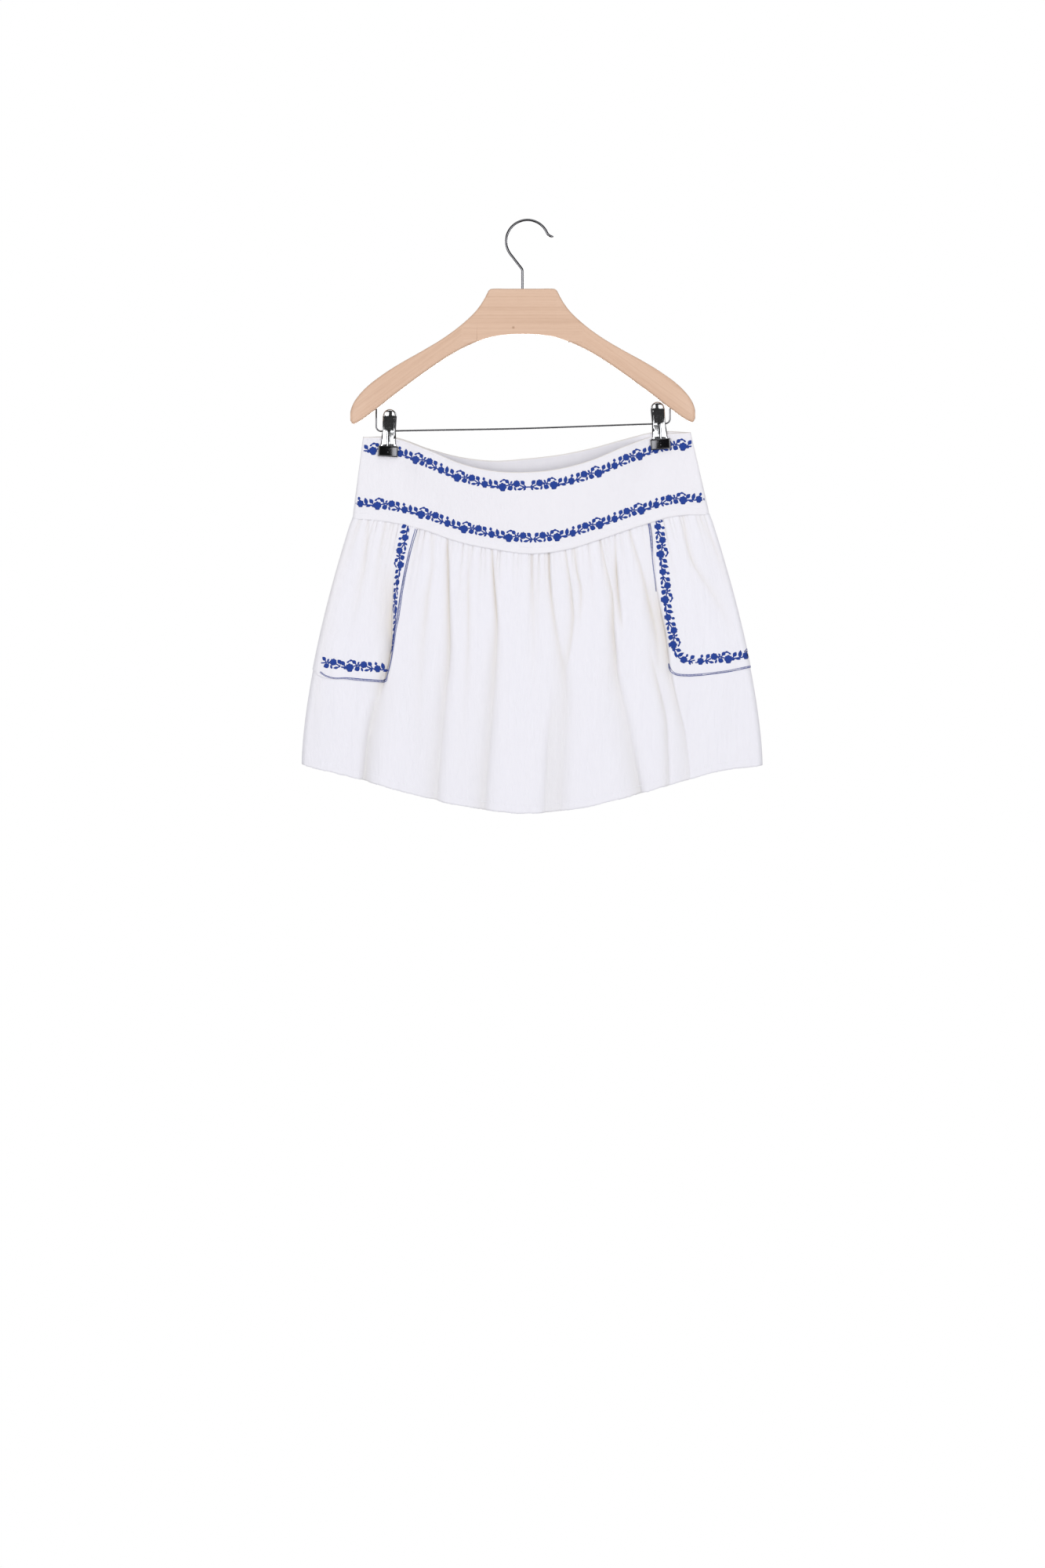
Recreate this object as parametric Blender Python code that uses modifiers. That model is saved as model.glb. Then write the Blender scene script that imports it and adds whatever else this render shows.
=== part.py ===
"""A gathered skirt with a deep hip yoke, hung by two clips from a wooden hanger.

Blender 4.5, metres, +Z up. The skirt's front faces -Y. The origin is the inside of the hook's crown,
where a rail carries the hanger.
"""

import math
from collections import namedtuple

import bmesh
import bpy
from mathutils import Matrix, Vector

# Cloth walls, and how far apart two pieces lie.
YOKE_WALL = 0.0015
SKIRT_WALL = 0.0012
POCKET_WALL = 0.0010
SEAM_GAP = 0.0004
SIDE_GAP = 0.0005
LAYER_GAP = 0.0004
SEAT_GAP = 0.0003

# The tube of cloth at its three main lines. left and right are the silhouette, end_radius rounds the side
# seams, and bulge is how much further the middle of each face stands from the side seams' plane.
Line = namedtuple("Line", "left right end_radius bulge")
TOP_EDGE = Line(-0.2090, 0.2075, 0.0022, 0.0115)
YOKE_SEAM = Line(-0.2225, 0.2315, 0.0045, 0.0125)
HEM = Line(-0.2875, 0.2995, 0.0080, 0.0210)
FLARE_EASE = 1.55

# How far below the origin the main lines lie, from the left side seam (-1) to the right one (1).
Drop = namedtuple("Drop", "across front_top back_top seam hem")
DROPS = [
    Drop(-1.0, 0.2750, 0.2750, 0.3780, 0.6910),
    Drop(-0.8, 0.2765, 0.2755, 0.3820, 0.7050),
    Drop(-0.6, 0.2916, 0.2896, 0.3920, 0.7205),
    Drop(-0.4, 0.3090, 0.3005, 0.4075, 0.7360),
    Drop(-0.2, 0.3185, 0.3050, 0.4170, 0.7470),
    Drop(0.0, 0.3200, 0.3022, 0.4225, 0.7515),
    Drop(0.2, 0.3155, 0.2973, 0.4170, 0.7450),
    Drop(0.4, 0.3040, 0.2887, 0.4030, 0.7315),
    Drop(0.6, 0.2865, 0.2773, 0.3875, 0.7150),
    Drop(0.8, 0.2725, 0.2680, 0.3748, 0.6995),
    Drop(1.0, 0.2690, 0.2690, 0.3730, 0.6930),
]

# The valleys between the skirt's hanging folds. seam and hem are where one lies across the panel at each
# edge, middle is how far it strays sideways half-way down, start is the share of the panel's height where
# it begins, and depth and width are its size at the hem.
Fold = namedtuple("Fold", "seam middle hem start depth width")
FRONT_FOLDS = [
    Fold(-0.660, 0.015, -0.731, 0.10, 0.0125, 0.0110),
    Fold(-0.585, 0.010, -0.500, 0.02, 0.0025, 0.0080),
    Fold(-0.465, 0.000, -0.415, 0.00, 0.0100, 0.0095),
    Fold(-0.216, 0.000, -0.213, 0.02, 0.0100, 0.0095),
    Fold(0.097, 0.025, 0.112, 0.00, 0.0080, 0.0150),
    Fold(0.222, -0.030, 0.150, 0.00, 0.0040, 0.0110),
    Fold(0.450, -0.070, 0.455, 0.02, 0.0095, 0.0090),
    Fold(0.540, 0.010, 0.581, 0.05, 0.0060, 0.0090),
    Fold(0.650, -0.030, 0.676, 0.20, 0.0050, 0.0085),
]
BACK_FOLDS = [
    Fold(-0.700, 0.010, -0.735, 0.05, 0.0085, 0.0105),
    Fold(-0.480, 0.000, -0.455, 0.00, 0.0095, 0.0100),
    Fold(-0.255, -0.015, -0.240, 0.02, 0.0070, 0.0095),
    Fold(-0.020, 0.010, -0.015, 0.00, 0.0095, 0.0110),
    Fold(0.215, 0.020, 0.205, 0.04, 0.0080, 0.0100),
    Fold(0.430, 0.000, 0.455, 0.00, 0.0095, 0.0095),
    Fold(0.665, -0.010, 0.700, 0.06, 0.0085, 0.0105),
]
FOLD_START_SHARE = 0.28

# Gathers along the seam: how many, how deep, and how far down they fade, as a share of the height.
FRONT_GATHERS = 34
BACK_GATHERS = 26
GATHER_DEPTH = 0.0013
GATHER_FADE = 0.17

# The panel's rows, as shares of its height. The close rows hold every gather, the others every second column.
CLOSE_ROWS = [0.0, 0.035, 0.09, 0.17]
OPEN_ROWS = [0.27, 0.38, 0.48, 0.555, 0.59, 0.612, 0.73, 0.86, 1.0]
YOKE_ROWS = [0.0, 0.06, 0.16, 0.27, 0.45, 0.70, 1.0]
YOKE_COLUMNS = 38
SIDE_COLUMNS = [0.003, 0.010, 0.021]

# Patch pockets at the hips: where the inner edge lies across the front, and the rows its round corner uses.
POCKET_LEFT_EDGE = -0.655
POCKET_RIGHT_EDGE = 0.645
POCKET_CORNER_ROWS = [0.555, 0.59, 0.612]

# Hanger. Its middle lies a little left of the hook's crown.
HANGER_MIDDLE = -0.0060
HOOK_WIRE = 0.0017
HOOK_RADIUS = 0.0272
HOOK_LEG_ANGLE = math.radians(217.8)
HOOK_LIP_ANGLE = math.radians(30.0)
HOOK_LIP_RADIUS = 0.0105
HOOK_BEND_RADIUS = 0.0060
STEM_X = -0.0064
STEM_END = -0.1080
STEM_HOLE_END = -0.1100

# The wooden arch from its middle to one tip: distance from the middle, then the drops of its two edges.
Edge = namedtuple("Edge", "out upper lower thick")
ARCH = [
    Edge(0.0, 0.0863, 0.1440, 0.0135),
    Edge(0.0200, 0.0863, 0.1448, 0.0135),
    Edge(0.0405, 0.0865, 0.1478, 0.0135),
    Edge(0.0438, 0.0890, 0.1487, 0.0135),
    Edge(0.0480, 0.0972, 0.1501, 0.0135),
    Edge(0.0540, 0.1070, 0.1522, 0.0136),
    Edge(0.0620, 0.1170, 0.1552, 0.0138),
    Edge(0.0750, 0.1292, 0.1610, 0.0142),
    Edge(0.0900, 0.1410, 0.1690, 0.0148),
    Edge(0.1050, 0.1512, 0.1783, 0.0155),
    Edge(0.1200, 0.1602, 0.1885, 0.0163),
    Edge(0.1360, 0.1692, 0.1998, 0.0172),
    Edge(0.1520, 0.1780, 0.2116, 0.0182),
    Edge(0.1680, 0.1875, 0.2235, 0.0192),
    Edge(0.1820, 0.1968, 0.2345, 0.0198),
    Edge(0.1940, 0.2057, 0.2435, 0.0198),
    Edge(0.2040, 0.2148, 0.2507, 0.0192),
    Edge(0.2120, 0.2242, 0.2550, 0.0180),
    Edge(0.2170, 0.2325, 0.2562, 0.0164),
    Edge(0.2195, 0.2400, 0.2520, 0.0140),
]
ARCH_EDGE_RADIUS = 0.0036

# The clip rod: a bent wire whose ends are seated in the arch. A rod row is x, then the drop.
ROD_WIRE = 0.0011
ROD_LEFT = (-0.1928, 0.2300)
ROD_RIGHT = (0.1818, 0.2270)
ROD_CORNER = 0.0062
ROD_LEVEL_LEFT = 0.2667
ROD_LEVEL_RIGHT = 0.2570
ROD_HOLE_DEPTH = 0.0120

# A clip hangs on the rod. jaw is the x of its jaws, and top the x of its grip's rounded end.
Clip = namedtuple("Clip", "name jaw top")
CLIPS = [
    Clip("left", -0.1792, -0.1761),
    Clip("right", 0.1703, 0.1660),
]
PLATE_WALL = 0.0011
JAW_HALF_WIDTH = 0.0127
GRIP_HALF_WIDTH = 0.0082
CLIP_TOP = 0.0283
JAW_TOP = -0.0193
JAW_BOTTOM = -0.0328
SLEEVE_RADIUS = 0.0042
SLEEVE_LENGTH = 0.0116
PINCH_HALF_WIDTH = 0.066
PINCH_REACH = 0.19
PINCH_DEEPEST = 0.28
PINCH_GONE = 0.75

COLOURS = {
    "cloth": ((0.90, 0.90, 0.92), 0.85, 0.0),
    "wood": ((0.62, 0.42, 0.27), 0.45, 0.0),
    "chrome": ((0.75, 0.75, 0.77), 0.12, 1.0),
}


def clear_scene():
    for thing in list(bpy.data.objects):
        bpy.data.objects.remove(thing, do_unlink=True)


def make_material(name):
    colour, roughness, metallic = COLOURS[name]
    material = bpy.data.materials.new(name)
    material.use_nodes = True
    shader = material.node_tree.nodes["Principled BSDF"]
    shader.inputs["Base Color"].default_value = (*colour, 1.0)
    shader.inputs["Roughness"].default_value = roughness
    shader.inputs["Metallic"].default_value = metallic
    return material


def make_collection(name):
    collection = bpy.data.collections.new(name)
    bpy.context.scene.collection.children.link(collection)
    return collection


def add_object(name, data, material, collection):
    thing = bpy.data.objects.new(name, data)
    data.materials.append(material)
    collection.objects.link(thing)
    return thing


def add_wall(name, points, faces, thickness, material, collection):
    """A sheet given by its middle surface, with a wall of the given thickness."""
    mesh = bpy.data.meshes.new(name)
    mesh.from_pydata(points, [], faces)
    mesh.shade_smooth()
    sheet = add_object(name, mesh, material, collection)
    wall = sheet.modifiers.new("wall", "SOLIDIFY")
    wall.thickness = thickness
    wall.offset = 0.0
    return sheet


def blend(low, high, share):
    return low + (high - low) * share


def ease(share):
    """A smooth step from 0 to 1."""
    share = min(1.0, max(0.0, share))
    return share * share * (3.0 - 2.0 * share)


def smooth_curve(places, values):
    """A curve through the given values, with each slope taken from the two neighbours."""
    last = len(places) - 1

    def slope(i):
        low, high = max(0, i - 1), min(last, i + 1)
        return (values[high] - values[low]) / (places[high] - places[low])

    def at(place):
        i = 0
        while i < last - 1 and place > places[i + 1]:
            i += 1
        span = places[i + 1] - places[i]
        t = (place - places[i]) / span
        start, end = values[i], values[i + 1]
        leave, arrive = slope(i) * span, slope(i + 1) * span
        return (
            start * (2 * t**3 - 3 * t**2 + 1)
            + leave * (t**3 - 2 * t**2 + t)
            + end * (3 * t**2 - 2 * t**3)
            + arrive * (t**3 - t**2)
        )

    return at


ACROSS = [row.across for row in DROPS]
TOP_DROP = {
    -1: smooth_curve(ACROSS, [row.front_top for row in DROPS]),
    1: smooth_curve(ACROSS, [row.back_top for row in DROPS]),
}
FRONT_SEAM_DROP = smooth_curve(ACROSS, [row.seam for row in DROPS])
FRONT_HEM_DROP = smooth_curve(ACROSS, [row.hem for row in DROPS])


def seam_drop(side, across):
    """The back hangs less low than the front, by as much as its top edge does."""
    return FRONT_SEAM_DROP(across) - (TOP_DROP[-1](across) - TOP_DROP[side](across))


def hem_drop(side, across):
    return FRONT_HEM_DROP(across) - (TOP_DROP[-1](across) - TOP_DROP[side](across))


def line_at(level):
    """The tube's sizes at a level: 0 at the top edge, 1 at the yoke's seam and 2 at the hem."""
    if level <= 1.0:
        return Line(*(blend(a, b, level) for a, b in zip(TOP_EDGE, YOKE_SEAM)))
    share = level - 1.0
    wide = 1.0 - (1.0 - share) ** FLARE_EASE
    left = blend(YOKE_SEAM.left, HEM.left, wide)
    right = blend(YOKE_SEAM.right, HEM.right, wide)
    end_radius = blend(YOKE_SEAM.end_radius, HEM.end_radius, share)
    return Line(left, right, end_radius, blend(YOKE_SEAM.bulge, HEM.bulge, share))


def pinch(across, level):
    """1 where a clip presses the two layers together, fading to 0 round it."""
    low = 1.0 - ease((level - PINCH_DEEPEST) / (PINCH_GONE - PINCH_DEEPEST))
    line = line_at(PINCH_DEEPEST / 2)
    middle, half = (line.left + line.right) / 2, (line.right - line.left) / 2
    near = 0.0
    for clip in CLIPS:
        off = abs(across - (clip.jaw - middle) / half) - PINCH_HALF_WIDTH
        near = max(near, 1.0 - ease(off / PINCH_REACH))
    return near * low


def tube_point(side, across, level, relief=0.0):
    """A point of the cloth's middle surface. side is -1 in front and 1 behind, and relief stands outwards."""
    line = line_at(level)
    middle, half = (line.left + line.right) / 2, (line.right - line.left) / 2
    flat = half - line.end_radius
    run = across * (flat + line.end_radius * math.pi / 2)
    turn = max(0.0, abs(run) - flat) / line.end_radius
    x = math.copysign(min(abs(run), flat) + line.end_radius * math.sin(turn), run)
    depth = line.end_radius + line.bulge * max(0.0, 1.0 - across * across) ** 0.8
    pinched = (YOKE_WALL + LAYER_GAP - SIDE_GAP) / 2
    depth = blend(depth, min(depth, pinched), pinch(across, level))
    depth = depth * math.cos(turn) + relief
    if level <= 1.0:
        drop = blend(TOP_DROP[side](across), seam_drop(side, across), level)
    else:
        drop = blend(seam_drop(side, across), hem_drop(side, across), level - 1.0)
    return Vector((middle + x, side * (depth + SIDE_GAP / 2), -drop))


def fold_relief(folds, across, down):
    """How far the hanging folds move the cloth at this share of the panel's height."""
    half = (line_at(1.0 + down).right - line_at(1.0 + down).left) / 2
    relief = 0.0
    for fold in folds:
        grown = ease((down - fold.start) / (1.0 - fold.start) * 1.4)
        share = blend(FOLD_START_SHARE, 1.0, grown) * ease((down - fold.start) / 0.08 + 0.15)
        place = blend(fold.seam, fold.hem, down) + fold.middle * math.sin(math.pi * down)
        width = fold.width * blend(0.45, 1.0, grown)
        off = (across - place) * half / width
        relief -= fold.depth * share / (1.0 + off * off) ** 1.5
    return relief


def gather_relief(phase, down, index):
    """One fine gather: crest, middle, valley, middle over four columns. Some are deeper and longer."""
    uneven = math.sin(index * 2.4)
    reach = GATHER_FADE * (1.0 + 0.45 * math.sin(index * 1.7 + 1.0))
    return GATHER_DEPTH * (1.0 + 0.35 * uneven) * math.cos(phase) * math.exp(-down / reach)


def uneven_across(share):
    """Spreads evenly counted columns a little unevenly, as real gathers are."""
    return share + (1.0 - share * share) * (0.006 * math.sin(9.1 * share + 0.4) + 0.004 * math.sin(23.0 * share))


def panel_columns(gathers):
    """Each column's place across and its quarter turns of gather. The side seams have a few close ones."""
    count = 4 * gathers
    inner = [(uneven_across(2.0 * k / count - 1.0), k) for k in range(2, count - 1)]
    left = [(-1.0, 0)] + [(near - 1.0, 0) for near in SIDE_COLUMNS]
    right = [(1.0 - near, 0) for near in SIDE_COLUMNS[::-1]] + [(1.0, 0)]
    return left + inner + right


def panel_mesh(side, gathers, folds):
    """Points and faces of a gathered panel, with the across and down place of each point."""
    columns = panel_columns(gathers)
    points, places, rows = [], [], []
    for down in CLOSE_ROWS + OPEN_ROWS:
        row = []
        for across, quarter in columns:
            if down in OPEN_ROWS and quarter % 2:
                continue
            fade = 1.0 - abs(across) ** 14
            relief = fold_relief(folds, across, down)
            if quarter:
                relief += gather_relief(quarter * math.pi / 2, down, quarter // 4)
            point = tube_point(side, across, 1.0 + down, relief * fade)
            if down == 0.0:
                point.z -= SEAM_GAP
            row.append(len(points))
            points.append(point)
            places.append((across, down))
        rows.append(row)
    faces = []
    for upper, lower in zip(rows, rows[1:]):
        k = 0
        for first, last in zip(lower, lower[1:]):
            if places[upper[k + 1]][0] < places[last][0] - 1e-9:
                faces.append((upper[k], first, upper[k + 1]))
                faces.append((upper[k + 1], first, last))
                faces.append((upper[k + 1], last, upper[k + 2]))
                k += 2
            else:
                faces.append((upper[k], first, last, upper[k + 1]))
                k += 1
    if side > 0:
        faces = [tuple(reversed(face)) for face in faces]
    return points, faces, places


def add_panel(name, side, gathers, folds, material, collection):
    points, faces, places = panel_mesh(side, gathers, folds)
    panel = add_wall(name, points, faces, SKIRT_WALL, material, collection)
    return panel, places


def add_yoke(name, side, material, collection):
    shares = [2.0 * column / YOKE_COLUMNS - 1.0 for column in range(1, YOKE_COLUMNS)]
    ends = [1.0 - near for near in SIDE_COLUMNS]
    columns = [-1.0] + [-end for end in ends] + shares + ends[::-1] + [1.0]
    points = [tube_point(side, across, level) for level in YOKE_ROWS for across in columns]
    count = len(columns)
    faces = []
    for row in range(len(YOKE_ROWS) - 1):
        for k in range(count - 1):
            upper, lower = row * count + k, (row + 1) * count + k
            faces.append((upper, lower, lower + 1, upper + 1))
    if side > 0:
        faces = [tuple(reversed(face)) for face in faces]
    return add_wall(name, points, faces, YOKE_WALL, material, collection)


def add_pocket(name, panel, places, edge, material, collection):
    """A patch made from the front panel's own points, moved out. Its inner lower corner is rounded."""
    way = math.copysign(1.0, edge)
    inner = min((abs(across - edge), across) for across, down in places if down == OPEN_ROWS[0])[1]
    lanes = sorted({abs(across) for across, down in places if down == OPEN_ROWS[0]})
    lanes = [lane for lane in lanes if lane >= abs(inner) - 1e-6]
    corner = dict(zip(POCKET_CORNER_ROWS, lanes))

    def inside(index):
        across, down = places[index]
        if across * way < abs(inner) - 1e-6 or down > POCKET_CORNER_ROWS[-1]:
            return False
        return down < POCKET_CORNER_ROWS[0] or across * way >= corner[down] - 1e-6

    out = (SKIRT_WALL + POCKET_WALL) / 2 + LAYER_GAP
    points, index_of = [], {}
    faces = []
    for polygon in panel.data.polygons:
        kept = [index for index in polygon.vertices if inside(index)]
        if len(kept) < 3:
            continue
        for index in kept:
            if index not in index_of:
                index_of[index] = len(points)
                vertex = panel.data.vertices[index]
                points.append(vertex.co + vertex.normal * out)
        faces.append([index_of[index] for index in kept])
    return add_wall(name, points, faces, POCKET_WALL, material, collection)


def add_wire(name, path, radius, material, collection):
    curve = bpy.data.curves.new(name, "CURVE")
    curve.dimensions = "3D"
    curve.bevel_depth = radius
    curve.bevel_resolution = 2
    curve.use_fill_caps = True
    spline = curve.splines.new("POLY")
    spline.points.add(len(path) - 1)
    for point, place in zip(spline.points, path):
        point.co = (*place, 1.0)
    return add_object(name, curve, material, collection)


def arc(centre, radius, start, end, steps):
    """Points of an arc in the hanger's plane, from one angle to the other."""
    points = []
    for step in range(steps + 1):
        angle = blend(start, end, step / steps)
        x = centre[0] + radius * math.cos(angle)
        points.append(Vector((x, 0.0, centre[1] + radius * math.sin(angle))))
    return points


def hook_path():
    """Up the stem, over to the left, round the crown and out at the lip."""
    crown = (0.0, -(HOOK_RADIUS - HOOK_WIRE))
    round_part = arc(crown, HOOK_RADIUS, HOOK_LEG_ANGLE, HOOK_LIP_ANGLE, 24)
    lip_centre = (
        crown[0] + (HOOK_RADIUS + HOOK_LIP_RADIUS) * math.cos(HOOK_LIP_ANGLE),
        crown[1] + (HOOK_RADIUS + HOOK_LIP_RADIUS) * math.sin(HOOK_LIP_ANGLE),
    )
    lip_start = HOOK_LIP_ANGLE + math.pi
    lip = arc(lip_centre, HOOK_LIP_RADIUS, lip_start, math.radians(270.0), 4)
    leg_way = Vector((-math.sin(HOOK_LEG_ANGLE), 0.0, math.cos(HOOK_LEG_ANGLE)))
    leg_top = round_part[0]
    corner = leg_top + leg_way * ((STEM_X - leg_top.x) / leg_way.x)
    turn = math.acos(-leg_way.z)
    back_off = HOOK_BEND_RADIUS * math.tan(turn / 2)
    bend_centre = (STEM_X - HOOK_BEND_RADIUS, corner.z - back_off)
    bend = arc(bend_centre, HOOK_BEND_RADIUS, 0.0, turn, 5)
    stem = [Vector((STEM_X, 0.0, STEM_END))]
    return stem + bend + round_part + lip[1:]


def rod_slope():
    """The angle at which the rod climbs to the right."""
    return math.atan2(ROD_LEVEL_LEFT - ROD_LEVEL_RIGHT, ROD_RIGHT[0] - ROD_LEFT[0] - 2.0 * ROD_CORNER)


def rod_path():
    """Down out of the arch on the left, along the clips, and up into it on the right."""
    turn = 1.5 * math.pi + rod_slope()
    left = (ROD_LEFT[0] + ROD_CORNER, -ROD_LEVEL_LEFT + ROD_CORNER)
    right = (ROD_RIGHT[0] - ROD_CORNER, -ROD_LEVEL_RIGHT + ROD_CORNER)
    path = [Vector((ROD_LEFT[0], 0.0, -ROD_LEFT[1]))]
    path += arc(left, ROD_CORNER, math.pi, turn, 6)
    path += arc(right, ROD_CORNER, turn, 2.0 * math.pi, 6)
    path.append(Vector((ROD_RIGHT[0], 0.0, -ROD_RIGHT[1])))
    return path


def rod_height(x):
    """The height of the rod's straight stretch over a place across the hanger."""
    start = rod_path()[7]
    return start.z + (x - start.x) * math.tan(rod_slope())


def rounded_section(half_depth, low, high, radius):
    """A ring of (y, z) with rounded corners, three points to a corner."""
    radius = min(radius, half_depth * 0.9, (high - low) * 0.45)
    corners = [(1, 1, 0.0), (-1, 1, 90.0), (-1, -1, 180.0), (1, -1, 270.0)]
    ring = []
    for y_way, z_way, start in corners:
        centre_y = y_way * (half_depth - radius)
        centre_z = high - radius if z_way > 0 else low + radius
        for step in range(3):
            angle = math.radians(start + 45.0 * step)
            ring.append((centre_y + radius * math.cos(angle), centre_z + radius * math.sin(angle)))
    return ring


def add_arch(material, collection, cutters):
    """The wooden body, lofted from tip to tip, with a hole for the stem and one for each end of the rod."""
    sections = [(-edge.out, edge) for edge in ARCH[:0:-1]] + [(edge.out, edge) for edge in ARCH]
    rim = bmesh.new()
    rings = []
    for out, edge in sections:
        ring = rounded_section(edge.thick / 2, -edge.lower, -edge.upper, ARCH_EDGE_RADIUS)
        rings.append([rim.verts.new((HANGER_MIDDLE + out, y, z)) for y, z in ring])
    for first, second in zip(rings, rings[1:]):
        for k in range(len(first)):
            after = (k + 1) % len(first)
            rim.faces.new((first[k], first[after], second[after], second[k]))
    rim.faces.new(rings[0][::-1])
    rim.faces.new(rings[-1])
    bmesh.ops.recalc_face_normals(rim, faces=rim.faces)
    mesh = bpy.data.meshes.new("hanger_arch")
    rim.to_mesh(mesh)
    rim.free()
    mesh.shade_smooth()
    arch = add_object("hanger_arch", mesh, material, collection)
    holes = [
        ("stem_hole", STEM_X, STEM_HOLE_END, -ARCH[0].upper + 0.004, HOOK_WIRE),
        ("rod_hole_left", ROD_LEFT[0], -ROD_LEFT[1] - ROD_HOLE_DEPTH * 1.4, -ROD_LEFT[1] + 0.001, ROD_WIRE),
        ("rod_hole_right", ROD_RIGHT[0], -ROD_RIGHT[1] - ROD_HOLE_DEPTH * 1.4, -ROD_RIGHT[1] + 0.001, ROD_WIRE),
    ]
    for name, x, low, high, wire in holes:
        hole = bmesh.new()
        bmesh.ops.create_cone(
            hole, cap_ends=True, segments=12, radius1=wire + SEAT_GAP, radius2=wire + SEAT_GAP, depth=high - low
        )
        cutter_mesh = bpy.data.meshes.new(name)
        hole.to_mesh(cutter_mesh)
        hole.free()
        cutter = bpy.data.objects.new(name, cutter_mesh)
        cutter.location = (x, 0.0, (low + high) / 2)
        cutter.hide_render = True
        cutter.display_type = "WIRE"
        cutters.objects.link(cutter)
        cut = arch.modifiers.new(name, "BOOLEAN")
        cut.object = cutter
    return arch


def plate_rows():
    """Rows of a clip's lever from its rounded end to its jaw: height over the rod, half width, depth, flange."""
    rows = []
    centre = CLIP_TOP - GRIP_HALF_WIDTH
    for degrees in (82.0, 60.0, 38.0, 18.0, 0.0):
        angle = math.radians(degrees)
        height = centre + GRIP_HALF_WIDTH * math.sin(angle)
        rows.append((height, GRIP_HALF_WIDTH * math.cos(angle), 0.0088, 0.0012))
    rows += [
        (0.0095, GRIP_HALF_WIDTH, 0.0070, 0.0022),
        (0.0, GRIP_HALF_WIDTH, 0.0055, 0.0022),
        (-0.0090, 0.0088, 0.0042, 0.0014),
        (JAW_TOP + 0.0010, 0.0098, 0.0030, 0.0006),
        (JAW_TOP, JAW_HALF_WIDTH, 0.0028, 0.0),
        (-0.0260, JAW_HALF_WIDTH, 0.00275, 0.0),
        (JAW_BOTTOM, JAW_HALF_WIDTH, 0.00265, 0.0),
    ]
    return rows


def add_clip(clip, material, collection):
    """Two levers that pinch the yoke, and the sleeve that hangs them on the rod."""
    lanes = [-1.0, -0.82, -0.45, 0.0, 0.45, 0.82, 1.0]
    rib = [0.0, 0.0, 0.0011, 0.0, 0.0011, 0.0, 0.0]
    rows = plate_rows()
    lean = (clip.top - clip.jaw) / (CLIP_TOP - JAW_BOTTOM)
    rod_x = clip.jaw - lean * JAW_BOTTOM
    rod = Vector((rod_x, 0.0, rod_height(rod_x)))
    for side, face in ((-1, "front"), (1, "back")):
        points = []
        for height, half_width, depth, flange in rows:
            ribbed = 1.0 if JAW_TOP < height <= 0.0 else 0.0
            for lane, raised in zip(lanes, rib):
                out = depth + raised * ribbed - (flange if abs(lane) == 1.0 else 0.0)
                point = Vector((lane * half_width + lean * height, side * out, height))
                points.append(rod + point)
        count = len(lanes)
        faces = []
        for row in range(len(rows) - 1):
            for k in range(count - 1):
                upper, lower = row * count + k, (row + 1) * count + k
                faces.append((upper, lower, lower + 1, upper + 1))
        if side > 0:
            faces = [tuple(reversed(face_points)) for face_points in faces]
        add_wall(f"clip_{clip.name}_{face}", points, faces, PLATE_WALL, material, collection)
    add_sleeve(f"clip_{clip.name}_sleeve", rod, material, collection)


def add_sleeve(name, rod, material, collection):
    """A short tube on the rod, turned to lie along it."""
    inner, outer, half = ROD_WIRE + SEAT_GAP, SLEEVE_RADIUS, SLEEVE_LENGTH / 2
    profile = [(inner, -half), (inner, half), (outer, half), (outer, -half)]
    segments = 14
    tube = bmesh.new()
    rings = []
    for step in range(segments):
        angle = 2.0 * math.pi * step / segments
        across, up = math.cos(angle), math.sin(angle)
        rings.append([tube.verts.new((x, radius * across, radius * up)) for radius, x in profile])
    for step in range(segments):
        ring, after = rings[step], rings[(step + 1) % segments]
        for k in range(4):
            tube.faces.new((ring[k], ring[(k + 1) % 4], after[(k + 1) % 4], after[k]))
    bmesh.ops.recalc_face_normals(tube, faces=tube.faces)
    mesh = bpy.data.meshes.new(name)
    tube.to_mesh(mesh)
    tube.free()
    sleeve = add_object(name, mesh, material, collection)
    sleeve.matrix_world = Matrix.Translation(rod) @ Matrix.Rotation(-rod_slope(), 4, "Y")
    return sleeve


def build():
    clear_scene()
    parts = make_collection("skirt_on_hanger")
    cutters = make_collection("cutters")
    cloth, wood, chrome = (make_material(name) for name in ("cloth", "wood", "chrome"))
    front, places = add_panel("skirt_front", -1, FRONT_GATHERS, FRONT_FOLDS, cloth, parts)
    add_panel("skirt_back", 1, BACK_GATHERS, BACK_FOLDS, cloth, parts)
    add_yoke("yoke_front", -1, cloth, parts)
    add_yoke("yoke_back", 1, cloth, parts)
    add_pocket("pocket_left", front, places, POCKET_LEFT_EDGE, cloth, parts)
    add_pocket("pocket_right", front, places, POCKET_RIGHT_EDGE, cloth, parts)
    add_arch(wood, parts, cutters)
    add_wire("hanger_hook", hook_path(), HOOK_WIRE, chrome, parts)
    add_wire("hanger_rod", rod_path(), ROD_WIRE, chrome, parts)
    for clip in CLIPS:
        add_clip(clip, chrome, parts)


build()
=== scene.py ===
import math

import bpy
import numpy as np
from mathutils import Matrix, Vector
from mathutils.bvhtree import BVHTree


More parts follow.
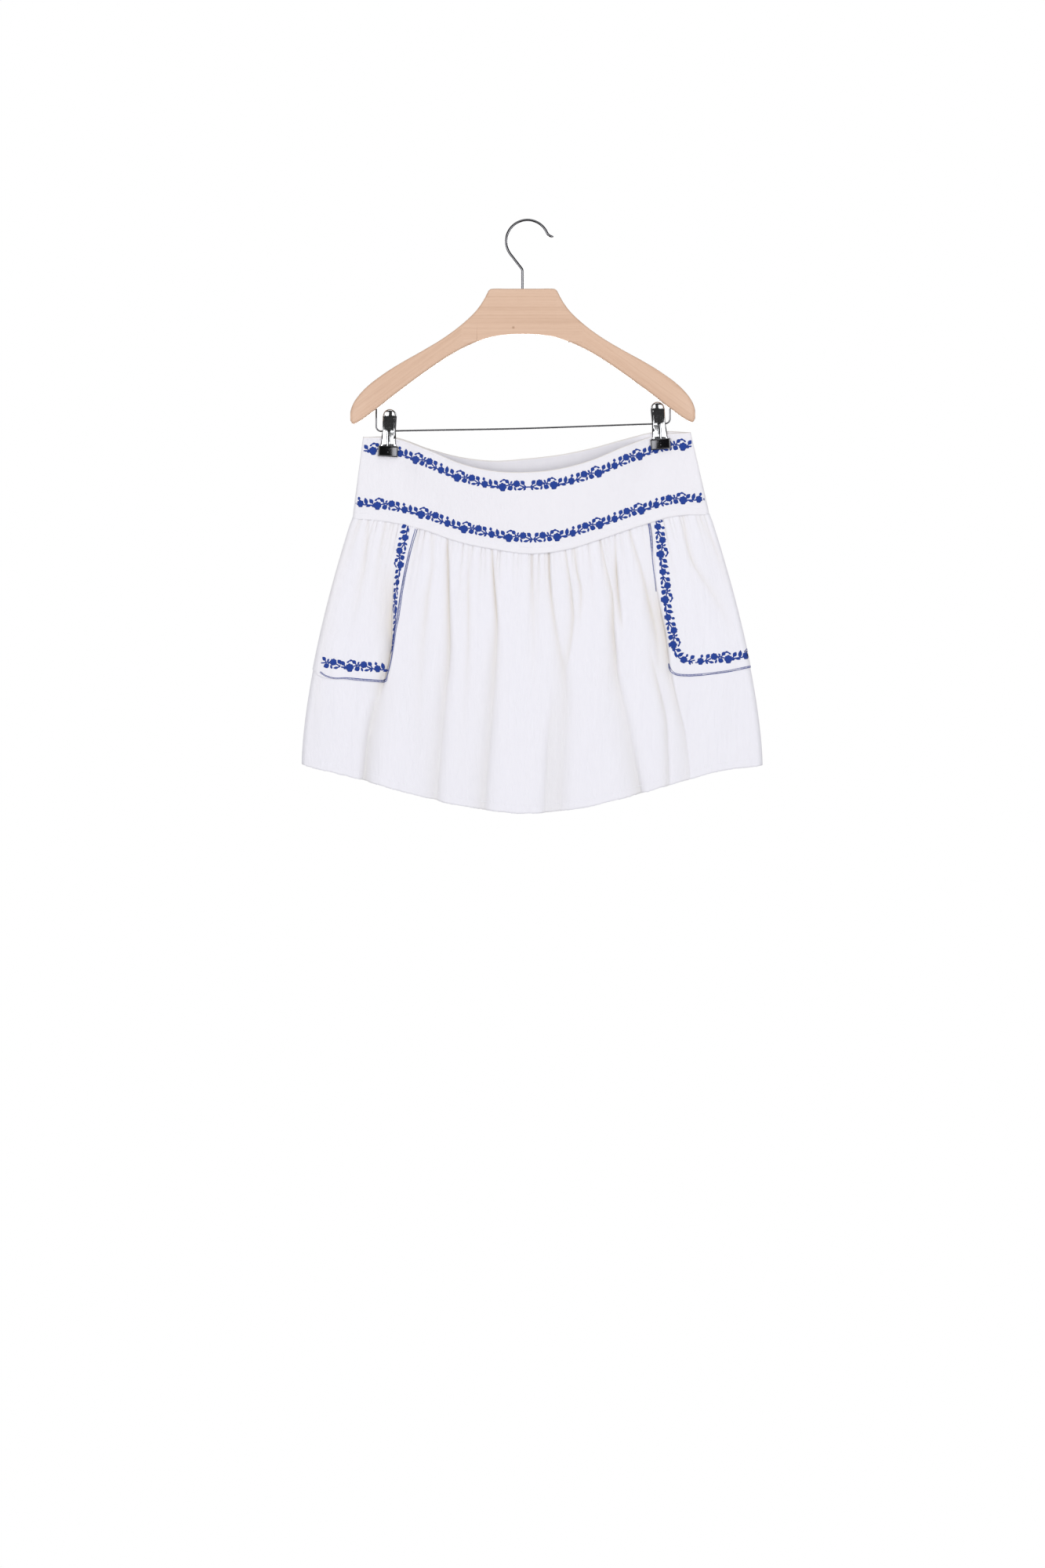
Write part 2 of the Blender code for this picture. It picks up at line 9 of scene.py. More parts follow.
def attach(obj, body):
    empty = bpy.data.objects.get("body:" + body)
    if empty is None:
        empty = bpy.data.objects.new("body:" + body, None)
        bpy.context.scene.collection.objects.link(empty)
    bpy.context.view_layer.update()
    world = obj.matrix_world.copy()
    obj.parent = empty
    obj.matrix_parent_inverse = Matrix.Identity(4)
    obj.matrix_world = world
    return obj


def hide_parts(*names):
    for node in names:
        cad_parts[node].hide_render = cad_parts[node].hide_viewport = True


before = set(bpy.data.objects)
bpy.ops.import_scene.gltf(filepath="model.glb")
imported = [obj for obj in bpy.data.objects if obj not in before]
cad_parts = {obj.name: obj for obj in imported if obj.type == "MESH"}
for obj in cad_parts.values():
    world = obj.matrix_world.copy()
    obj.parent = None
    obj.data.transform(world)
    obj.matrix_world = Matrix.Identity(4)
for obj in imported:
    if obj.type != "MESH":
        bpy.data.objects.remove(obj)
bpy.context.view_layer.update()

mm = 0.001
chance = np.random.default_rng(4)

# The white gauze skirt, its blue embroidery and the wooden clip hanger, in metres.
# across runs from the left side seam (-1) to the right one (1), and a drop is measured down from the hook.


# Camera, floor and light

studio = {
    "objectMiddle": (-0.0063, -0.3737),  # x and z that the camera faces
    "distance": 2.778,
    "lens": 50.0,
    "shiftDown": -0.172,                 # the photo leaves much room under the skirt
    "floorHeight": -2.10,                # just below the picture, a metre and a half under the hook's rail
    "floorRadius": 0.75,
    "skyStrength": 0.62,
    "boxPlace": (1.50, -3.00, -0.30),    # one soft box to the right and its twin to the left
    "boxPowers": (28.0, 26.5),
    "boxSize": (1.9, 1.7),
    "topPlace": (0.0, -1.80, 1.60),
    "topPower": 11.0,
    "backPlace": (0.0, 3.00, -0.30),
    "backPower": 44.0,
    "backdropSeen": 0.95,                # what polished metal sees behind the object and in the dark room
    "roomSeen": 0.03,
}


def aim(thing, target):
    way = Vector(target) - thing.location
    thing.rotation_euler = way.to_track_quat("-Z", "Y").to_euler()


def addLight(name, place, power):
    bpy.ops.object.light_add(type="AREA", location=place)
    lamp = bpy.context.object
    lamp.name = name
    lamp.data.energy = power
    lamp.data.shape = "RECTANGLE"
    lamp.data.size, lamp.data.size_y = studio["boxSize"]
    aim(lamp, (0.0, 0.0, studio["objectMiddle"][1]))


bpy.ops.object.select_all(action="DESELECT")
bpy.context.scene.view_settings.view_transform = "Standard"
middleX, middleZ = studio["objectMiddle"]
bpy.ops.object.camera_add(location=(middleX, -studio["distance"], middleZ), rotation=(math.radians(90), 0, 0))
camera = bpy.context.object
camera.data.lens = studio["lens"]
camera.data.shift_y = studio["shiftDown"]
bpy.context.scene.camera = camera
boxX, boxY, boxZ = studio["boxPlace"]
addLight("left soft box", (-boxX, boxY, boxZ), studio["boxPowers"][0])
addLight("right soft box", (boxX, boxY, boxZ), studio["boxPowers"][1])
addLight("top soft box", studio["topPlace"], studio["topPower"])
addLight("back soft box", studio["backPlace"], studio["backPower"])
print("camera and lights placed")


# Materials

class Wire:                              # a node socket that can stand in sums
    def __init__(self, tree, socket=None):
        self.tree = tree
        self.socket = socket

    def node(self, kind, settings=None, values=None, out=0):
        made = self.tree.nodes.new(kind)
        for name, value in (settings or {}).items():
            if name == "stops":
                ramp = made.color_ramp.elements
                while len(ramp) < len(value):
                    ramp.new(1.0)
                for stop, (place, colour) in zip(ramp, value):
                    stop.position = place
                    stop.color = (*colour, 1.0)
            else:
                setattr(made, name, value)
        for place, value in (values or {}).items():
            if isinstance(value, Wire):
                self.tree.links.new(value.socket, made.inputs[place])
            else:
                made.inputs[place].default_value = value
        return Wire(self.tree, made.outputs[out])

    def maths(self, operation, first, second=0.0):
        return self.node("ShaderNodeMath", {"operation": operation}, {0: first, 1: second})

    def __add__(self, other):
        return self.maths("ADD", self, other)

    def __mul__(self, other):
        return self.maths("MULTIPLY", self, other)

    def __sub__(self, other):
        return self.maths("SUBTRACT", self, other)

    def __rsub__(self, other):
        return self.maths("SUBTRACT", other, self)

    def __pow__(self, other):
        return self.maths("POWER", self, other)

    __radd__ = __add__
    __rmul__ = __mul__

    def stretched(self, scale):          # the same coordinates, scaled along each axis
        settings = {"operation": "MULTIPLY"}
        return self.node("ShaderNodeVectorMath", settings, {0: self, 1: scale})

    def noise(self, scale, detail=2.0, roughness=0.5):
        values = {"Vector": self.stretched(scale), "Scale": 1.0, "Detail": detail, "Roughness": roughness}
        return self.node("ShaderNodeTexNoise", None, values)

    def stripes(self, period, direction, distortion=0.0):
        settings = {"wave_type": "BANDS", "bands_direction": direction, "wave_profile": "SIN"}
        values = {"Vector": self, "Scale": math.pi / (10.0 * period), "Distortion": distortion}
        return self.node("ShaderNodeTexWave", settings, values, 1)

    def mixed(self, first, second):      # colours, by this socket's value
        settings = {"data_type": "RGBA"}
        colours = [c if isinstance(c, Wire) else (*c, 1.0) for c in (first, second)]
        return self.node("ShaderNodeMix", settings, {0: self, 6: colours[0], 7: colours[1]}, 2)

    def ramp(self, stops):
        return self.node("ShaderNodeValToRGB", {"stops": stops}, {"Fac": self})

    def bump(self, distance, strength=1.0):
        values = {"Height": self, "Distance": distance, "Strength": strength}
        return self.node("ShaderNodeBump", None, values)


def newMaterial(name, constants):
    material = bpy.data.materials.new(name)
    material.use_nodes = True
    shader = material.node_tree.nodes["Principled BSDF"]
    for socket, value in constants.items():
        shader.inputs[socket].default_value = value
    return material, Wire(material.node_tree), shader


def feed(shader, socket, wire):
    wire.tree.links.new(wire.socket, shader.inputs[socket])


gauzeLook = {
    "lit": (0.850, 0.843, 0.910),
    "paler": (0.872, 0.862, 0.925),
    # painted shade: the colour that folds, gathers and the yoke's top edge take in place of the shade they
    # fall into
    "valley": (0.752, 0.704, 0.650),
    "lowPaintedShade": (0.715, 0.697, 0.690),   # the painted shade of the deep folds near the hem is greyer
    "shadeGreysFrom": (-0.50, -0.66),           # heights between which the painted shade turns greyer
    "threadPitch": 0.62 * mm,
    "crinkle": (420.0, 34.0, 1.0),
    "slubs": (1500.0, 90.0, 1.0),
    "clouds": (40.0, 12.0, 1.0),
    "bumpDepth": 0.75 * mm,
}


def gauzeMaterial(name, crinkled):
    look = gauzeLook
    constants = {"Roughness": 0.85, "Sheen Weight": 0.12, "Sheen Roughness": 0.6}
    material, wire, shader = newMaterial(name, constants)
    cloth = wire.node("ShaderNodeUVMap", {"uv_map": "clothUV"})
    valley = wire.node("ShaderNodeAttribute", {"attribute_name": "valley"}, None, 2)
    weave = cloth.stripes(look["threadPitch"], "X", 0.4) * cloth.stripes(look["threadPitch"], "Y", 0.4)
    slubs = cloth.noise(look["slubs"], 2.0)
    crinkle = cloth.noise(look["crinkle"], 3.0, 0.6)
    cloudy = cloth.noise(look["clouds"], 2.0)
    ground = (cloudy * 0.6 + slubs * 0.4).mixed(look["lit"], look["paler"])
    place = wire.node("ShaderNodeTexCoord", None, None, "Object")
    height = place.node("ShaderNodeSeparateXYZ", None, {0: place}, 2)
    greyTop, greyLow = look["shadeGreysFrom"]
    low = height.node("ShaderNodeMapRange", None, {0: height, 1: greyTop, 2: greyLow})
    # Painted shade: the point attribute mixes the cloth's colour towards a warm shade colour in folds,
    # gathers and along the yoke's top edge, greyer lower down
    feed(shader, "Base Color", valley.mixed(ground, low.mixed(look["valley"], look["lowPaintedShade"])))
    feed(shader, "Roughness", 0.78 + slubs * 0.2)
    relief = weave * 0.22 + slubs * 0.22 + crinkle * crinkled
    feed(shader, "Normal", relief.bump(look["bumpDepth"], 0.9))
    return material


threadLook = {"blue": (0.016, 0.070, 0.420), "deepBlue": (0.008, 0.042, 0.300), "strandPitch": 0.42 * mm}


def threadMaterial():
    look = threadLook
    constants = {"Roughness": 0.5, "Sheen Weight": 0.1, "Specular IOR Level": 0.3}
    material, wire, shader = newMaterial("blue thread", constants)
    stitch = wire.node("ShaderNodeAttribute", {"attribute_name": "stitch"}, None, 1)
    strands = stitch.stripes(look["strandPitch"], "X", 0.6)
    uneven = stitch.noise((900.0, 900.0, 900.0), 2.0)
    tone = strands * 0.55 + uneven * 0.45
    feed(shader, "Base Color", tone.mixed(look["deepBlue"], look["blue"]))
    feed(shader, "Roughness", 0.42 + uneven * 0.25)
    feed(shader, "Normal", (strands + uneven * 0.3).bump(0.18 * mm))
    return material


def whiteThreadMaterial():
    material, wire, shader = newMaterial("white thread", {"Roughness": 0.7})
    place = wire.node("ShaderNodeTexCoord", None, None, "Object")
    twist = place.noise((2600.0, 2600.0, 2600.0))
    feed(shader, "Base Color", twist.mixed((0.82, 0.82, 0.88), (0.93, 0.93, 0.96)))
    feed(shader, "Normal", twist.bump(0.08 * mm))
    return material


woodLook = {
    "pale": (0.700, 0.490, 0.362),
    "mid": (0.650, 0.436, 0.312),
    "dark": (0.550, 0.350, 0.240),
    "knot": (0.330, 0.170, 0.095),
    "knotPlace": (-0.018, -0.136),
    "knotSize": 2.2 * mm,
}


def woodMaterial():
    look = woodLook
    constants = {"Roughness": 0.4, "Coat Weight": 0.25, "Coat Roughness": 0.28}
    material, wire, shader = newMaterial("beech", constants)
    grain = wire.node("ShaderNodeAttribute", {"attribute_name": "grain"}, None, 1)
    wave = grain.noise((3.0, 130.0, 60.0), 2.0, 0.5)
    lines = grain.noise((2.2, 520.0, 200.0), 3.0, 0.6)
    fleck = grain.noise((70.0, 900.0, 900.0), 3.0, 0.6)
    pores = grain.noise((150.0, 2600.0, 2600.0), 2.0)
    tone = wave * 0.38 + lines * 0.38 + fleck * 0.24
    colour = tone.ramp([(0.26, look["dark"]), (0.47, look["mid"]), (0.66, look["pale"])])
    place = wire.node("ShaderNodeTexCoord", None, None, "Object")
    knotX, knotZ = look["knotPlace"]
    toKnot = place.node("ShaderNodeVectorMath", {"operation": "SUBTRACT"}, {0: place, 1: (knotX, 0.0, knotZ)})
    flat = toKnot.stretched((1.0, 0.0, 1.0))
    away = flat.node("ShaderNodeVectorMath", {"operation": "LENGTH"}, {0: flat}, 1)
    size = look["knotSize"]
    knot = away.node("ShaderNodeMapRange", None, {0: away, 1: size * 0.3, 2: size, 3: 0.7, 4: 0.0})
    feed(shader, "Base Color", knot.mixed(colour, look["knot"]))
    feed(shader, "Roughness", 0.36 + pores * 0.16)
    feed(shader, "Normal", (pores * 0.6 + fleck * 0.4).bump(0.10 * mm, 0.6))
    return material


# The hook, rod and jaws are the same polished chrome with a darker colour: painted dark reflection
metalTones = {"polished chrome": (0.80, 0.81, 0.83, 1.0), "chrome wire painted dark": (0.27, 0.27, 0.29, 1.0),
              "chrome jaws painted darker": (0.15, 0.15, 0.16, 1.0)}


def metalMaterial(name):
    material, wire, shader = newMaterial(name, {"Base Color": metalTones[name], "Metallic": 1.0})
    place = wire.node("ShaderNodeTexCoord", None, None, "Object")
    smears = place.noise((160.0, 160.0, 160.0), 3.0)
    rubbed = place.noise((2400.0, 2400.0, 300.0), 1.0)
    feed(shader, "Roughness", 0.04 + smears * 0.07 + rubbed * 0.03)
    feed(shader, "Normal", rubbed.bump(0.015 * mm, 0.5))
    return material


def makeWorld():
    world = bpy.data.worlds.new("studio")
    bpy.context.scene.world = world
    world.use_nodes = True
    tree = world.node_tree
    wire = Wire(tree)
    direction = wire.node("ShaderNodeTexCoord", None, None, "Generated")
    # Polished metal sees a dark room in front and above, and the white backdrop behind and beside the object
    parts = direction.node("ShaderNodeSeparateXYZ", None, {0: direction}, 1)
    seen = parts.node("ShaderNodeMapRange", None,
                      {0: parts, 1: 0.55, 2: 0.90, 3: studio["roomSeen"], 4: studio["backdropSeen"]})
    rays = wire.node("ShaderNodeLightPath", None, None, "Is Glossy Ray")
    toCamera = wire.node("ShaderNodeLightPath", None, None, "Is Camera Ray")
    plain = rays * seen + (1.0 - rays) * studio["skyStrength"]
    light = toCamera + (1.0 - toCamera) * plain
    background = tree.nodes["Background"]
    tree.links.new(light.socket, background.inputs["Strength"])
    background.inputs["Color"].default_value = (1.0, 1.0, 1.0, 1.0)


makeWorld()
gauze = gauzeMaterial("white gauze", 1.0)
yokeGauze = gauzeMaterial("white yoke gauze", 0.45)
blueThread = threadMaterial()
whiteThread = whiteThreadMaterial()
beech = woodMaterial()
chrome = metalMaterial("polished chrome")
paintedDarkWire = metalMaterial("chrome wire painted dark")
paintedDarkerJaws = metalMaterial("chrome jaws painted darker")
print("materials made")


def addFloor():
    place = (0, 0, studio["floorHeight"])
    bpy.ops.object.select_all(action="DESELECT")
    bpy.ops.mesh.primitive_cylinder_add(vertices=96, radius=studio["floorRadius"], depth=0.02, location=place)
    floor = bpy.context.object
    floor.name = "floor"
    constants = {"Roughness": 0.9, "Base Color": (0.93, 0.93, 0.94, 1.0)}
    paper = newMaterial("floor paper", constants)[0]
    floor.data.materials.append(paper)


addFloor()


# Help for every piece

def finish(piece, material, replaced=()):
    piece.data.materials.clear()
    piece.data.materials.append(material)
    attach(piece, "root")
    if replaced:
        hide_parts(*replaced)
    print("made", piece.name, len(piece.data.polygons), "faces")
    return piece


def only(piece):                          # selects one piece and makes it active
    bpy.ops.object.select_all(action="DESELECT")
    piece.select_set(True)
    bpy.context.view_layer.objects.active = piece


def sized(piece, scale):
    piece.scale = scale
    bpy.ops.object.transform_apply(location=True, rotation=True, scale=True)


def addGrid(name, columns, rows, spots):
    bpy.ops.object.select_all(action="DESELECT")
    bpy.ops.mesh.primitive_grid_add(x_subdivisions=columns - 1, y_subdivisions=rows - 1, size=1)
    piece = bpy.context.object
    piece.name = piece.data.name = name
    piece.data.vertices.foreach_set("co", np.array(spots).reshape(-1))
    piece.data.update()
    return piece


def selectFaces(piece, wanted):           # goes into edit mode with the wanted faces selected
    only(piece)
    bpy.ops.object.mode_set(mode="EDIT")
    bpy.ops.mesh.select_mode(type="FACE")
    bpy.ops.mesh.select_all(action="DESELECT")
    bpy.ops.object.mode_set(mode="OBJECT")
    for face in piece.data.polygons:
        face.select = wanted(face)
    bpy.ops.object.mode_set(mode="EDIT")


def applyModifier(piece, kind, **settings):
    only(piece)
    modifier = piece.modifiers.new(kind.lower(), kind)
    for name, value in settings.items():
        setattr(modifier, name, value)
    bpy.ops.object.modifier_apply(modifier=modifier.name)


def curveThrough(places, values):         # a smooth curve, with each slope from its neighbours
    places = np.array(places, float)
    values = np.array(values, float)
    low = np.maximum(np.arange(len(places)) - 1, 0)
    high = np.minimum(np.arange(len(places)) + 1, len(places) - 1)
    slopes = (values[high] - values[low]) / (places[high] - places[low])

    def at(where):
        where = np.clip(np.asarray(where, float), places[0], places[-1])
        i = np.clip(np.searchsorted(places, where, side="right") - 1, 0, len(places) - 2)
        span = places[i + 1] - places[i]
        t = (where - places[i]) / span
        start, end = values[i], values[i + 1]
        leave, arrive = slopes[i] * span, slopes[i + 1] * span
        return (start * (2 * t**3 - 3 * t**2 + 1) + leave * (t**3 - 2 * t**2 + t)
                + end * (3 * t**2 - 2 * t**3) + arrive * (t**3 - t**2))

    return at


def ease(share):
    share = np.clip(share, 0.0, 1.0)
    return share * share * (3.0 - 2.0 * share)


lattice = chance.uniform(-1.0, 1.0, (256, 256))


def uneven(u, v, layer=0):                # smooth noise over two coordinates, about -1 to 1
    u = np.asarray(u, float) + 37.3 * layer + 64.0
    v = np.asarray(v, float) + 11.7 * layer + 64.0
    i, j = np.floor(u).astype(int), np.floor(v).astype(int)
    s, t = ease(u - i), ease(v - j)
    corners = [lattice[(i + a) % 256, (j + b) % 256] for a, b in ((0, 0), (1, 0), (0, 1), (1, 1))]
    return (corners[0] * (1 - s) + corners[1] * s) * (1 - t) + (corners[2] * (1 - s) + corners[3] * s) * t


# The form of the cloth, the same as its solids'

form = {
    "topLine": (-0.2090, 0.2075, 0.0022, 0.0115),   # left, right, side radius and bulge of the face
    "seamLine": (-0.2225, 0.2315, 0.0045, 0.0125),
    "hemLine": (-0.2875, 0.2995, 0.0080, 0.0210),
    "flareEase": 1.55,
    "across": [-1.0, -0.8, -0.6, -0.4, -0.2, 0.0, 0.2, 0.4, 0.6, 0.8, 1.0],
    "frontTop": [0.2750, 0.2765, 0.2916, 0.3090, 0.3185, 0.3200, 0.3155, 0.3040, 0.2865, 0.2725, 0.2690],
    "backTop": [0.2750, 0.2755, 0.2896, 0.3005, 0.3050, 0.3022, 0.2973, 0.2887, 0.2773, 0.2680, 0.2690],
    "seam": [0.3780, 0.3820, 0.3920, 0.4075, 0.4170, 0.4225, 0.4170, 0.4030, 0.3875, 0.3748, 0.3730],
    "hem": [0.6910, 0.7050, 0.7205, 0.7360, 0.7470, 0.7515, 0.7450, 0.7315, 0.7150, 0.6995, 0.6930],
    "sideGap": 0.15 * mm,
    "clipPlaces": (-0.1792, 0.1703),
    "pinchedDepth": 0.75 * mm,
    "pinchHalfWidth": 0.066,
    "pinchReach": 0.19,
    "pinchDeepest": 0.28,
    "pinchGone": 0.75,
    "yokeWall": 1.3 * mm,
    "skirtWall": 0.9 * mm,
    "pocketWall": 0.7 * mm,
}
frontTopDrop, backTopDrop, frontSeamDrop, frontHemDrop = [
    curveThrough(form["across"], form[line]) for line in ("frontTop", "backTop", "seam", "hem")]
topDrop = {-1: frontTopDrop, 1: backTopDrop}


def backRise(side, across):
    return topDrop[-1](across) - topDrop[side](across)


def seamDrop(side, across):
    return frontSeamDrop(across) - backRise(side, across)


def hemDrop(side, across):
    return frontHemDrop(across) - backRise(side, across)


def lineAt(level):                        # 0 at the top edge, 1 at the yoke's seam, 2 at the hem
    upper = np.clip(level, 0.0, 1.0)
    lower = np.clip(level - 1.0, 0.0, 1.0)
    wide = 1.0 - (1.0 - lower) ** form["flareEase"]
    shares = (wide, wide, lower, lower)
    rows = zip(form["topLine"], form["seamLine"], form["hemLine"], shares)
    return [top + (seam - top) * upper + (hem - seam) * share for top, seam, hem, share in rows]


def pinchAt(across, level):
    left, right, _, _ = lineAt(form["pinchDeepest"] / 2)
    low = 1.0 - ease((level - form["pinchDeepest"]) / (form["pinchGone"] - form["pinchDeepest"]))
    near = np.zeros_like(across)
    for clipX in form["clipPlaces"]:
        place = (clipX - (left + right) / 2) / ((right - left) / 2)
        off = np.abs(across - place) - form["pinchHalfWidth"]
        near = np.maximum(near, 1.0 - ease(off / form["pinchReach"]))
    return near * low


def tubePoints(side, across, level, relief=0.0):
    across, level = np.broadcast_arrays(np.asarray(across, float), np.asarray(level, float))
    left, right, radius, bulge = lineAt(level)
    middle, half = (left + right) / 2, (right - left) / 2
    flat = half - radius
    run = across * (flat + radius * math.pi / 2)
    turn = np.maximum(0.0, np.abs(run) - flat) / radius
    x = middle + np.sign(run) * (np.minimum(np.abs(run), flat) + radius * np.sin(turn))
    depth = radius + bulge * np.maximum(0.0, 1.0 - across**2) ** 0.8
    pinched = pinchAt(across, level)
    depth = depth + (np.minimum(depth, form["pinchedDepth"]) - depth) * pinched
    room = depth + relief * (1.0 - np.abs(across) ** 14)
    least = 3.0 * mm
    soft = least * np.exp(np.minimum(room - least, 0.0) / least)
    room = np.where((room < least) & (level > 1.0), soft, room)
    upper = topDrop[side](across) + (seamDrop(side, across) - topDrop[side](across)) * np.clip(level, 0, 1)
    lower = (hemDrop(side, across) - seamDrop(side, across)) * np.clip(level - 1.0, 0, 1)
    y = side * (room * np.cos(turn) + form["sideGap"] / 2)
    return np.stack([x, y, -(upper + lower)], axis=-1)


# Folds and gathers. A fold is how much steeper its right wall is than its left, then rows of its drop, x,
# depth and half width, in millimetres.

frontFolds = [
    (0.75, [(436, -169, 0.2, 5.5), (456, -170.5, 2.4, 5.5), (474, -171.6, 4.8, 5), (507, -171.8, 8, 4.4),
            (535, -172.1, 9, 3.6), (557, -174.7, 8.5, 3.2), (575, -178.7, 7.5, 3.2), (590, -183.2, 4, 3.6),
            (606, -188, 0.3, 4.5)]),
    (-0.35, [(575, -182.5, 0.2, 8), (600, -189, 4.5, 8), (624, -195.5, 7, 7.5), (659, -202.5, 8, 6.5),
             (704, -207.2, 8, 5.2), (760, -212, 8, 5.2)]),
    (0.2, [(440, -120.5, 1, 2.5), (477, -126.1, 2, 3), (502, -128.6, 2, 3.5), (537, -132.3, 1.8, 5),
           (602, -136.1, 1.3, 7), (690, -139, 0.3, 8)]),
    (0.35, [(405, -101.5, 1.2, 1.2), (425, -100.8, 3.4, 1.4), (490, -99.5, 4.4, 2.2), (552, -98.8, 5, 3.6),
            (597, -103.8, 5, 5.3), (651, -108.8, 5.9, 6.9), (723, -114.8, 7.1, 7.4),
            (760, -116.5, 7.1, 7.4)]),
    (0, [(440, -75.2, 0.3, 1.6), (477, -75, 1.5, 1.8), (532, -75.1, 1.4, 2.4), (600, -77.5, 1, 5),
         (690, -85, 0.2, 8)]),
    (0.3, [(405, -45.2, 0.6, 1.2), (427, -44.1, 1.8, 1.2), (452, -42.8, 3.2, 1.4), (500, -39, 3.8, 1.8),
           (520, -38.8, 3.8, 3), (552, -40.3, 5, 4.5), (626, -45.3, 5.5, 6.4), (664, -49, 6.3, 6.9),
           (738, -55.2, 7.1, 7.4), (770, -57, 7.1, 7.4)]),
    (0, [(405, 4.5, 1, 1.6), (460, 6, 1.5, 2), (520, 7.5, 0.8, 4), (600, 8, 0.1, 6)]),
    (0.2, [(405, 26.8, 1.8, 1.2), (430, 27.5, 3.4, 1.4), (452, 28.2, 3.4, 1.5), (490, 31.5, 2.6, 2),
           (539, 39.2, 2.2, 3), (569, 45.6, 3.6, 5), (602, 48.2, 4.2, 7.4), (651, 46.2, 4.7, 9),
           (745, 40.5, 5.5, 9.5), (770, 39.5, 5.5, 9.5)]),
    (-0.5, [(600, 33, 0.2, 5), (640, 28, 1.6, 5), (700, 24, 2.6, 5), (770, 21, 3, 5.5)]),
    (0.5, [(405, 46, 0.9, 1.2), (452, 53.1, 1.9, 1.5), (482, 56.8, 2.6, 1.8), (507, 58.1, 2.6, 2.2),
           (547, 53.1, 1.8, 2.6), (575, 48, 0.2, 3)]),
    (0.2, [(405, 58, 1, 1.2), (447, 63.1, 2, 1.4), (465, 67.2, 2, 1.8), (485, 67.8, 1.4, 2.2),
           (512, 65, 0.2, 3)]),
    (0.3, [(405, 111.2, 0.5, 1.2), (425, 112.2, 1.6, 1.3), (445, 113.2, 3.8, 1.7), (470, 114.8, 4, 1.9),
           (500, 117.8, 2.4, 2.2), (520, 119.5, 0.2, 3)]),
    (0.5, [(405, 92.5, 0.8, 1.3), (440, 99.5, 1.5, 1.5), (477, 107.8, 2.4, 1.8), (517, 109.1, 4.2, 2.4),
           (547, 111.5, 4.8, 3), (577, 113.5, 4.6, 4.5), (614, 121.2, 4.2, 6.4), (651, 128.9, 5, 7.4),
           (689, 136.2, 6.3, 6.9), (723, 142.6, 7.1, 5.8), (760, 149, 7.1, 5.8)]),
    (0.2, [(395, 130, 1, 1.8), (417.5, 136.2, 1.8, 2), (452, 146.2, 2.4, 2.3), (485, 153.8, 3, 2.6),
           (517, 161.2, 3, 3), (547, 165.5, 1.8, 3.6), (580, 166.5, 0.2, 4)]),
    (0.5, [(551, 156.4, 0.2, 2.2), (589, 165, 2.4, 2.2), (630, 174.5, 2.8, 2.4), (671, 177, 2.8, 2.6),
           (740, 178.5, 2.8, 3)]),
    (0.9, [(455, 162.5, 0.2, 4), (475, 165.8, 2.4, 3.6), (497, 170, 5.4, 3.4), (519, 175, 6.8, 3.2),
           (547, 178.7, 6.2, 3.2), (565, 180, 4.8, 3.2), (584, 183.6, 3.2, 2.8), (614, 190.5, 2.4, 2.4),
           (648, 198.7, 2, 2.4), (684, 203.2, 1.8, 3), (730, 206, 1.6, 3.5)]),
    (0.2, [(390, -202, 1.2, 2.2), (432, -205.8, 1.8, 3), (472, -213.2, 1.3, 4.5), (520, -222, 0.2, 6)]),
    (0, [(388, -180, 0.9, 2.2), (428, -188.5, 1.2, 3.6), (480, -193, 0.2, 6)]),
    (-0.2, [(385, -222, 0.4, 3), (422, -234.5, 1.4, 5), (482, -252, 1.8, 6.5), (602, -269, 1.5, 8),
            (690, -278, 0.6, 9)]),
    (-0.2, [(385, 198.5, 0.9, 2), (415, 203.6, 1.9, 2.2), (440, 212.2, 2, 2.8), (477, 235.9, 1.5, 5),
            (519, 258.2, 0.4, 7)]),
    (0, [(380, 221, 0.7, 2.4), (427, 243.2, 1.3, 4.5), (480, 260, 0.2, 7)]),
]
backFolds = [
    (0.3, [(390, -154.4, 2, 2.5), (550, -183, 5.5, 5.5), (720, -209.7, 8, 8.5)]),
    (-0.4, [(390, -104.5, 3, 2.2), (550, -118, 6, 4.5), (720, -127.5, 8.5, 8)]),
    (0.2, [(400, -53.4, 2.5, 2.2), (560, -62, 4.5, 5), (740, -64.4, 6.5, 9.5)]),
    (-0.3, [(400, 0, 3.5, 2.2), (560, 3.5, 6, 4.5), (740, 1.6, 8.5, 8.5)]),
    (0.4, [(400, 53.3, 2.5, 2), (560, 64, 5, 5), (740, 66.2, 7.5, 9)]),
    (0.3, [(390, 102.1, 3, 2.2), (550, 124, 6, 4.5), (730, 139.5, 8.5, 8)]),
    (-0.3, [(390, 155.5, 2, 2.5), (550, 184, 5, 5.5), (720, 211.5, 8, 8.5)]),
]
gatherForm = {
    "frontCount": 66,
    "backCount": 50,
    "depth": (0.6 * mm, 2.3 * mm),
    "width": (0.9 * mm, 1.6 * mm),
    "length": (0.014, 0.080),
    "pleatPitch": 3.1 * mm,
    "pleatDepth": 0.40 * mm,
    "pleatLength": 0.011,
    "tuck": 0.45 * mm,                    # how far the panel lies back under the yoke's edge
    "halfSeam": 0.23,                     # half the seam's length, near enough
}


def drawGathers(count):
    rows = []
    for k in range(count):
        place = -0.975 + 1.95 * (k + 0.5 + chance.uniform(-0.38, 0.38)) / count
        strong = chance.uniform(0.0, 1.0) ** 1.6
        sizes = [low + (high - low) * strong for low, high in (gatherForm["depth"], gatherForm["length"])]
        width = chance.uniform(*gatherForm["width"])
        rows.append((place, sizes[0], width, sizes[1], chance.uniform(-0.6, 0.6)))
    return rows


